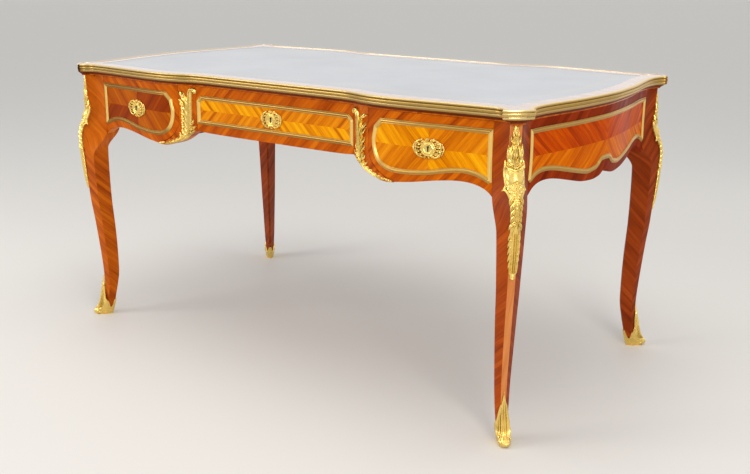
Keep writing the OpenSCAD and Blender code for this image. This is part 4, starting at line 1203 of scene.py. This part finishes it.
# Outline of the brass frame on a side drawer: two curves at its sides and the smooth lower line between them
def sideFrameRing():
    low = np.linspace(417, 641, 22)
    return np.concatenate([bow(*fillet["sideLeft"], 14), beside(low, through(fillet["sideLow"], low)),
                           bow(*fillet["sideRight"], 10), fillet["sideTop"]])


# Outline of the frame on the middle drawer: a rectangle with cut upper corners
def centreFrameRing():
    return np.array(fillet["centre"], float)


# Outline of the frame on an end: one half and its mirror image
def endFrameRing():
    low = np.linspace(64, 308, 26)
    half = np.concatenate([fillet["endTip"], bow(*fillet["endHollow"], 6),
                           beside(low, through(fillet["endLow"], low)), bow(*fillet["endSide"], 10)])
    return np.concatenate([half, (half * [-1, 1])[:0:-1]])


# Closed outline cut into short steps that keep its corners
def dense(ring, step=5.0):
    parts = []
    for p, q in zip(ring, np.roll(ring, -1, axis=0)):
        count = max(1, int(np.ceil(np.linalg.norm(q - p) / step)))
        parts.append(p + (q - p) * np.linspace(0, 1, count, endpoint=False)[:, None])
    return np.concatenate(parts)


# Brass fillet: the profile (distance in from the outline, height) swept round it with mitred corners
filletProfile = np.array([[0, -0.6], [0, 0.9], [0.5, 1.5], [1.3, 1.7], [2.0, 1.5], [2.4, 1.7], [3.0, 2.6],
                          [4.2, 3.5], [5.8, 3.9], [7.4, 3.5], [8.6, 2.6], [9.2, 1.7], [9.6, 1.5], [10.2, 1.7],
                          [11.0, 1.5], [11.5, 0.9], [11.5, -0.6]])


def addFillet(shell, ring, place):
    ring = dense(np.asarray(ring, float))
    before, after = ring - np.roll(ring, 1, axis=0), np.roll(ring, -1, axis=0) - ring
    before /= np.linalg.norm(before, axis=1)[:, None]
    after /= np.linalg.norm(after, axis=1)[:, None]
    na = beside(-before[:, 1], before[:, 0])
    nb = beside(-after[:, 1], after[:, 0])
    inward = (na + nb) / np.maximum(1 + np.sum(na * nb, -1), 0.45)[:, None]
    k = filletProfile[:, 0]
    flat = ring[:, None] + inward[:, None] * k[None, :, None]
    h = np.broadcast_to(filletProfile[:, 1], flat.shape[:2])
    points = place(flat[..., 0], flat[..., 1], h)
    # Painted highlight: the upright runs take the bright colour through the zone, the level runs almost none
    run = before + after
    upright = np.abs(run[:, 1]) / np.linalg.norm(run, axis=1)
    bright = np.broadcast_to((ease(0.5, 0.95, upright) * 0.9 + 0.04)[:, None], h.shape)
    addGrid(shell, np.concatenate([points, points[:1]]), zone=np.concatenate([bright, bright[:1]]))


# Board of a side drawer: the lower line follows the knee's curve and then the apron line
def addSideFront(shell, signs):
    a = softColumns(np.concatenate([kneeCorner[:, 0], np.linspace(408, 649.6, 42)]))
    low = np.where(a < 402, np.interp(a, kneeCorner[:, 0], kneeCorner[:, 1]), through(apron["side"], a))
    addBoard(shell, a, low, slabLow - table["gap"], frontDepth, mirrored(onFront, *signs),
             sideFrameRing(), fillet["sideMiddle"])


# Board of the middle drawer between its apron line and the top
def addCentreFront(shell, signs):
    a = softColumns(np.linspace(-267.5, 267.5, 72))
    addBoard(shell, a, through(apron["centre"], np.abs(a)), slabLow - table["gap"], frontDepth,
             mirrored(onFront, *signs), centreFrameRing(), fillet["centreMiddle"])


# Stile between two drawers, and the curved tail under the side drawer
def addStile(shell, signs, slot=0):
    place = mirrored(onFront, *signs)
    a = softColumns(np.linspace(268.2, 320.8, 16))
    addBoard(shell, a, through(apron["knee"], a), slabLow, frontDepth, place, None, (0, 0), (1, 0, 1, 0),
             slot=slot)
    a = softColumns(stileCorner[:, 0])
    high = np.interp(a, stileCorner[:, 0], stileCorner[:, 1])
    addBoard(shell, a, through(apron["knee"], a), high, frontDepth, place, None, (0, 0), (0, 0, 1, 1), rows=8,
             slot=slot)


sides = {"right": 1, "left": -1}
for side, sign in sides.items():
    shell = newShell()
    addSideFront(shell, (sign, 1))
    makePiece(f"front_{side}", shell, f"drawer_{side}", [f"drawer_{side}_front"],
              ["frontRight" if sign > 0 else "frontLeft"])
    shell = newShell()
    addFillet(shell, sideFrameRing(), mirrored(onFront, sign, 1))
    # The left drawer's frame takes the darker copy: painted shade
    makePiece(f"fillet_{side}", shell, f"drawer_{side}", [f"drawer_{side}_frame"],
              ["fillet" if sign > 0 else "filletDim"])
    shell = newShell()
    addStile(shell, (sign, 1))
    makePiece(f"stile_{side}", shell, "desk", [f"knee_stile_{side}"], ["crossBand"])
shell = newShell()
addCentreFront(shell, (1, 1))
makePiece("front_centre", shell, "drawer_centre", ["drawer_centre_front"], ["frontCentre"])
shell = newShell()
addFillet(shell, centreFrameRing(), mirrored(onFront, 1, 1))
# The middle drawer's frame takes the darker copy: painted shade
makePiece("fillet_centre", shell, "drawer_centre", ["drawer_centre_frame"], ["filletDim"])

shell = newShell()
for sign in (1, -1):
    addSideFront(shell, (sign, -1))
    addStile(shell, (sign, -1), slot=1)
addCentreFront(shell, (1, -1))
makePiece("false_drawers_back", shell, "desk", ["back_frieze"], ["frontRight", "crossBand"])
shell = newShell()
for sign in (1, -1):
    addFillet(shell, sideFrameRing(), mirrored(onFront, sign, -1))
addFillet(shell, centreFrameRing(), mirrored(onFront, 1, -1))
makePiece("fillets_back", shell, "desk", ["back_frames"], ["fillet"])

for side, sign in sides.items():
    shell = newShell()
    a = np.unique(np.concatenate([np.linspace(-316, 316, 110), [-9, -4, 0, 4, 9]]))
    addBoard(shell, a, through(apron["end"], np.abs(a)), slabLow, lambda y: y * 0 + table["friezeThick"],
             mirrored(onEnd, sign, 1), endFrameRing(), fillet["endMiddle"], (0, 0, 1, 0))
    makePiece(f"end_board_{side}", shell, "desk", [f"end_frieze_{side}"], ["endPanel"])
    shell = newShell()
    addFillet(shell, endFrameRing(), mirrored(onEnd, sign, 1))
    makePiece(f"end_fillet_{side}", shell, "desk", [f"end_frame_{side}"], ["fillet"])
print("friezes made")


# Leaf mount on a stile, in x and z on the front: a stem that curls over at its top and runs on as the tail
# down to a cluster of beads, and slender leaves that rise from it in a fan on its outer side
def leafMountShapes():
    body = leafShape([(285, 716), (287, 700), (290, 682), (292, 662), (293, 642), (294, 624), (298, 608),
                      (309, 597), (325, 589), (346, 581), (364, 576.8)],
                     [3, 5, 8, 10.5, 11, 11, 10, 7.5, 5.6, 4.2, 2.5],
                     [3, 4, 5, 5.5, 6, 6, 5.5, 5, 4.2, 3.6, 2.6], groove=0.0, rows=120, columns=13)
    stem = leafShape([(269.8, 717), (270.6, 723.5), (275.6, 727), (281.4, 724), (284.6, 715), (285.4, 700),
                      (285.2, 680), (285.6, 660), (287, 640), (290.5, 622), (297, 607), (309, 595.5),
                      (326, 587), (347, 579.6), (366, 575.6), (379, 574)],
                     [4.4, 6.2, 6.8, 7, 6.8, 6, 5.4, 5, 5, 5, 4.6, 4, 3.5, 3, 2.6, 1.4],
                     [5, 8, 9.5, 10, 9.5, 9, 8.6, 8.4, 8, 7.6, 7, 6.4, 5.6, 4.8, 4, 3], groove=0.34,
                     rows=200, columns=15)
    shapes = [body, stem]
    blades = [([(293, 664), (296, 690), (303, 709), (313, 718), (323, 721.5)], [3.5, 5, 5.4, 4, 0.4],
               [6, 8.6, 8.6, 6.4, 2], 2),
              ([(294, 644), (298, 668), (304, 684), (312, 695), (320.4, 703)], [4, 4.8, 4.8, 3.6, 0.4],
               [7, 9, 8.6, 6.4, 2], 2),
              ([(295, 628), (299, 652), (303.5, 669), (309, 681), (316, 691)], [4, 4.6, 4.4, 3.2, 0.4],
               [7.4, 9, 8.6, 6.4, 2], 2),
              ([(295, 614), (300, 634), (304, 648), (308.5, 659), (314, 670)], [4, 4.4, 4, 3, 0.4],
               [7.4, 8.8, 8.2, 6, 2], 2),
              ([(297, 603), (302, 620), (305.5, 632), (309, 642), (312.5, 653)], [4, 4.2, 3.8, 2.8, 0.4],
               [7, 8.4, 7.8, 5.8, 2], 2),
              ([(300, 597), (304.5, 606), (307.5, 613), (309.4, 619), (311.5, 627)], [3.6, 4.2, 3.8, 3, 0.4],
               [6, 7, 6.2, 5, 2], 2),
              ([(306, 594), (311, 598), (315, 601.5), (318, 606), (320.5, 612)], [3, 3.6, 3.2, 2.4, 0.4],
               [5, 6, 5.4, 4, 1.6], 2),
              ([(293, 690), (295.4, 700), (298.6, 709), (302, 716), (307, 722)], [2.4, 3.2, 3, 2.2, 0.3],
               [5, 7, 6.4, 5, 1.6], 2)]
    for spine, width, crest, lobes in blades:
        shapes.append(leafShape(spine, width, crest, lobes, depth=(0.3, 0.15), rows=20 + 12 * lobes,
                                columns=11, base=0.2))
    inner = [([(293, 610), (285, 619), (277.5, 625), (269.6, 630.5)], [3.6, 4.6, 3.6, 0.4], [6, 7.5, 6, 1.8]),
             ([(294, 604), (286.5, 611), (279.5, 615), (272, 617.5)], [3.2, 4, 3, 0.4], [6, 7, 5.6, 1.8]),
             ([(297, 601), (291, 605), (285.5, 608), (279.5, 610.5)], [2.8, 3.2, 2.4, 0.4], [5, 6, 4.6, 1.6]),
             ([(290, 626), (284, 632), (279.5, 639), (277, 648)], [2.8, 3.4, 2.6, 0.4], [5, 6.4, 5, 1.6])]
    for spine, width, crest in inner:
        shapes.append(leafShape(spine, width, crest, 3, rows=44, base=0.3))
    shapes.append(leafShape([(303, 607), (311, 601.5), (324, 594.5), (342, 586.4), (360, 580.2),
                             (374, 577.4)],
                            [2.2, 3, 3, 2.8, 2.4, 0.8], [5, 5.6, 5.2, 4.6, 4, 2], 7, rows=90, base=0.0))
    angle = np.linspace(0, 2 * math.pi, 17)[None, :]
    r = np.linspace(0, 1, 6)[:, None]
    for x, z, size in ((377, 577.6, 3), (383, 576.2, 3.6), (389.5, 575, 3.8), (395, 574, 2.8)):
        shapes.append((x + size * r * np.cos(angle), z + size * r * np.sin(angle),
                       1.5 + size * 1.5 * np.sqrt(np.maximum(1 - r * r, 0)) + 0 * angle))
    return shapes


# The leaf mount's shapes on the stiles that the signs name
def makeLeafMount(name, node, signList):
    shell = newShell()
    for signs in signList:
        for shape in leafMountShapes():
            addRelief(shell, *shape, mirrored(onFront, *signs))
    makePiece(name, shell, "desk", [node], ["gilt"], 70, join=False)


makeLeafMount("stile_leaf_front_right", "leaf_mount_front_right", [(1, 1)])
makeLeafMount("stile_leaf_front_left", "leaf_mount_front_left", [(-1, 1)])
makeLeafMount("stile_leaves_back", "leaf_mounts_back", [(1, -1), (-1, -1)])


# Keyhole plate: a round shield with a double rim, fluted shells round it, and a crescent of beads on each
# side
def cartoucheShapes(x, z, wide, tall):
    shapes = []
    angle = np.linspace(0, 2 * math.pi, 97)[None, :]
    r = np.linspace(0.0, 1.0, 26)[:, None]
    outer = 1 + 0.05 * np.cos(6 * angle) + 0.03 * np.cos(2 * angle)
    dish = (4.2 - 1.4 * r ** 2 + 2.4 * np.exp(-((r - 0.6) / 0.1) ** 2)
            + 2.0 * np.exp(-((r - 0.88) / 0.09) ** 2))
    dish = np.where(r > 0.98, -0.8, dish) + 0 * angle
    shapes.append((x + tall * 0.4 * r * np.cos(angle) * outer, z + tall * 0.39 * r * np.sin(angle) * outer,
                   dish))
    shells = [(90, 1.0, 5.2), (62, 1.05, 5), (118, 1.05, 5), (36, 0.95, 4.6), (144, 0.95, 4.6),
              (12, 0.86, 4.4), (168, 0.86, 4.4), (-14, 0.86, 4.4), (194, 0.86, 4.4), (-40, 0.95, 4.4),
              (220, 0.95, 4.4), (-66, 1.0, 4.6), (246, 1.0, 4.6), (-90, 0.98, 4.4)]
    for degrees, far, size in shells:
        turn = math.radians(degrees)
        reach = wide * 0.5 * abs(math.cos(turn)) ** 1.4 + tall * 0.5 * abs(math.sin(turn))
        cx, cz = x + tall * 0.33 * math.cos(turn), z + tall * 0.33 * math.sin(turn)
        ox, oz = x + reach * far * math.cos(turn), z + min(reach, tall * 0.5) * far * math.sin(turn)
        mx, mz = (cx + ox) / 2 - 2.0 * math.sin(turn), (cz + oz) / 2 + 2.0 * math.cos(turn)
        widths = [size * 0.7, size, size * 0.45]
        shapes.append(leafShape([(cx, cz), (mx, mz), (ox, oz)], widths, [4, 6.5, 3], 3,
                                depth=(0.3, 0.3), rows=30, base=0.6))
    crescent = [(tall * 0.3, tall * 0.44), (wide * 0.36, tall * 0.3), (wide * 0.41, 0),
                (wide * 0.35, -tall * 0.3), (tall * 0.26, -tall * 0.44)]
    beads = [(wide * 0.42, tall * 0.3), (wide * 0.49, tall * 0.02), (wide * 0.42, -tall * 0.28)]
    for side in (1, -1):
        shapes.append(cordShape([(x + side * a, z + b) for a, b in crescent], [1.2, 2.6, 2.0, 2.6, 1.2],
                                base=2.6))
        shapes.append(cordShape([(x + side * a, z + b) for a, b in beads], [1.4, 2.2, 1.4], rows=80, base=1.4,
                                beads=7))
    return shapes


# Keyhole as painted shade: a dark narrow ellipse and a round eye laid just above the plate
def keyholeShapes(x, z):
    angle = np.linspace(0, 2 * math.pi, 25)[None, :]
    r = np.linspace(0, 1, 3)[:, None]
    slot = (x + 1.3 * r * np.cos(angle), z + 6.5 * r * np.sin(angle) - 1, 5.3 + 0 * r * angle)
    eye = (x + 2.4 * r * np.cos(angle), z + 4 + 2.4 * r * np.sin(angle), 5.3 + 0 * r * angle)
    return [slot, eye]


# Near-black material for the keyholes: painted shade standing in for the hole
materials["keyholeDark"] = surface(*newMaterial("keyholeDark"), (0.01, 0.008, 0.006), 0.8, 0.0)
plates = {"right": (492, 660, 78, 48, 1), "left": (492, 660, 78, 48, -1), "centre": (0, 673, 68, 47, 1)}
backShell = newShell()
for side, (x, z, wide, tall, sign) in plates.items():
    shell = newShell()
    for shape in cartoucheShapes(x, z, wide, tall):
        addRelief(shell, *shape, mirrored(onFront, sign, 1))
        addRelief(backShell, *shape, mirrored(onFront, sign, -1))
    for shape in keyholeShapes(x, z):
        addRelief(shell, *shape, mirrored(onFront, sign, 1), slot=1)
        addRelief(backShell, *shape, mirrored(onFront, sign, -1), slot=1)
    makePiece(f"keyhole_plate_{side}", shell, f"drawer_{side}", [f"drawer_{side}_escutcheon"],
              ["gilt", "keyholeDark"], 70, join=False)
makePiece("keyhole_plates_back", backShell, "desk", ["back_escutcheons"],
          ["gilt", "keyholeDark"], 70, join=False)
print("mounts made")


# CAD nodes that keep their own shape
kept = {
    "top_panel": "darkWood", "front_top_rail": "paleWoodX", "partition_left": "darkWoodY",
    "partition_right": "darkWoodY", "drawer_runners": "paleWoodY", "drawer_guides": "paleWoodY",
    "top_screws": "steel"}
for side in ("left", "centre", "right"):
    kept.update({f"drawer_{side}_box": "paleWoodY", f"drawer_{side}_bottom": "paleWoodX",
                 f"drawer_{side}_lock": "lockMetal", f"drawer_{side}_bolt": "steel"})
for node, material in kept.items():
    mesh = nodes[node].data
    mesh.materials.clear()
    mesh.materials.append(materials[material])
print("kept nodes dressed")


# Pale floor, white surround, soft lights and the camera at the photograph's view
studio = {"lens": 47.84, "place": (1.71304, -2.21173, 1.08216), "turn": 36.802, "tilt": 15.946, "roll": 0.182,
          "sensor": 36, "floor": (0.82, 0.78, 0.72), "reach": 60, "world": 0.6}
floorMesh = bpy.data.meshes.new("floor")
reach = studio["reach"]
floorMesh.from_pydata([(-reach, -reach, 0), (reach, -reach, 0), (reach, reach, 0), (-reach, reach, 0)], [],
                      [(0, 1, 2, 3)])
floorMesh.materials.append(surface(*newMaterial("floorMaterial"), studio["floor"], 0.6, 0.0))
floor = newObject("floor", floorMesh)

world = bpy.data.worlds.new("studio")
bpy.context.scene.world = world
world.use_nodes = True
tree = world.node_tree
tree.nodes.clear()
paths = put(tree, "ShaderNodeLightPath")
direct = put(tree, "ShaderNodeBackground", {"Color": (1, 1, 1, 1), "Strength": 1.0})
soft = put(tree, "ShaderNodeBackground", {"Color": (0.93, 0.96, 1, 1), "Strength": studio["world"]})
seen = sums(tree, "MAXIMUM", sums(tree, "MAXIMUM", paths.outputs["Is Camera Ray"],
                                  paths.outputs["Is Transmission Ray"]),
            paths.outputs["Is Glossy Ray"])
mixShader = put(tree, "ShaderNodeMixShader", {0: seen})
tree.links.new(soft.outputs[0], mixShader.inputs[1])
tree.links.new(direct.outputs[0], mixShader.inputs[2])
output = put(tree, "ShaderNodeOutputWorld")
tree.links.new(mixShader.outputs[0], output.inputs[0])


# Rectangular lamp at a place, turned to face its target
def areaLight(name, place, target, size, power):
    data = bpy.data.lights.new(name, "AREA")
    data.shape = "RECTANGLE"
    data.size, data.size_y = size
    data.energy = power
    lamp = newObject(name, data)
    lamp.visible_camera = False
    direction = np.array(target, float) - np.array(place, float)
    direction /= np.linalg.norm(direction)
    lamp.location = place
    lamp.rotation_euler = (math.acos(-direction[2]), 0, math.atan2(direction[0], -direction[1]) + math.pi)


lamps = {
    "softLeft": {"place": (-2.8, -3.4, 2.2), "target": (0, 0, 0.5), "size": (1.8, 1.8), "power": 55},
    "overhead": {"place": (0.2, -0.3, 3.2), "target": (0, 0, 0.6), "size": (2.6, 2.0), "power": 34},
    "softRight": {"place": (3.4, -2.6, 2.3), "target": (0.4, 0, 0.5), "size": (1.4, 1.6), "power": 55},
    "tallWindow": {"place": (1.25, 3.0, 0.36), "target": (0.76, 0.12, 0.6), "size": (0.34, 0.66),
                   "power": 1.9}}
for name, lamp in lamps.items():
    areaLight(name, **lamp)

cameraData = bpy.data.cameras.new("camera")
cameraData.sensor_width = studio["sensor"]
cameraData.lens = studio["lens"]
camera = newObject("camera", cameraData)
bpy.context.scene.camera = camera
camera.rotation_mode = "QUATERNION"
turn, tilt, roll = (math.radians(studio[k]) for k in ("turn", "tilt", "roll"))
forward = np.array([-math.sin(turn) * math.cos(tilt), math.cos(turn) * math.cos(tilt), -math.sin(tilt)])
right = np.array([math.cos(turn), math.sin(turn), 0])
up = np.cross(right, forward)
rolledRight = right * math.cos(roll) + up * math.sin(roll)
rolledUp = -right * math.sin(roll) + up * math.cos(roll)
matrix = np.eye(4)
matrix[:3, 0], matrix[:3, 1], matrix[:3, 2], matrix[:3, 3] = rolledRight, rolledUp, -forward, studio["place"]
camera.matrix_world = mathutils.Matrix(matrix.tolist())

bpy.context.scene.view_settings.view_transform = "Standard"
print("studio made")
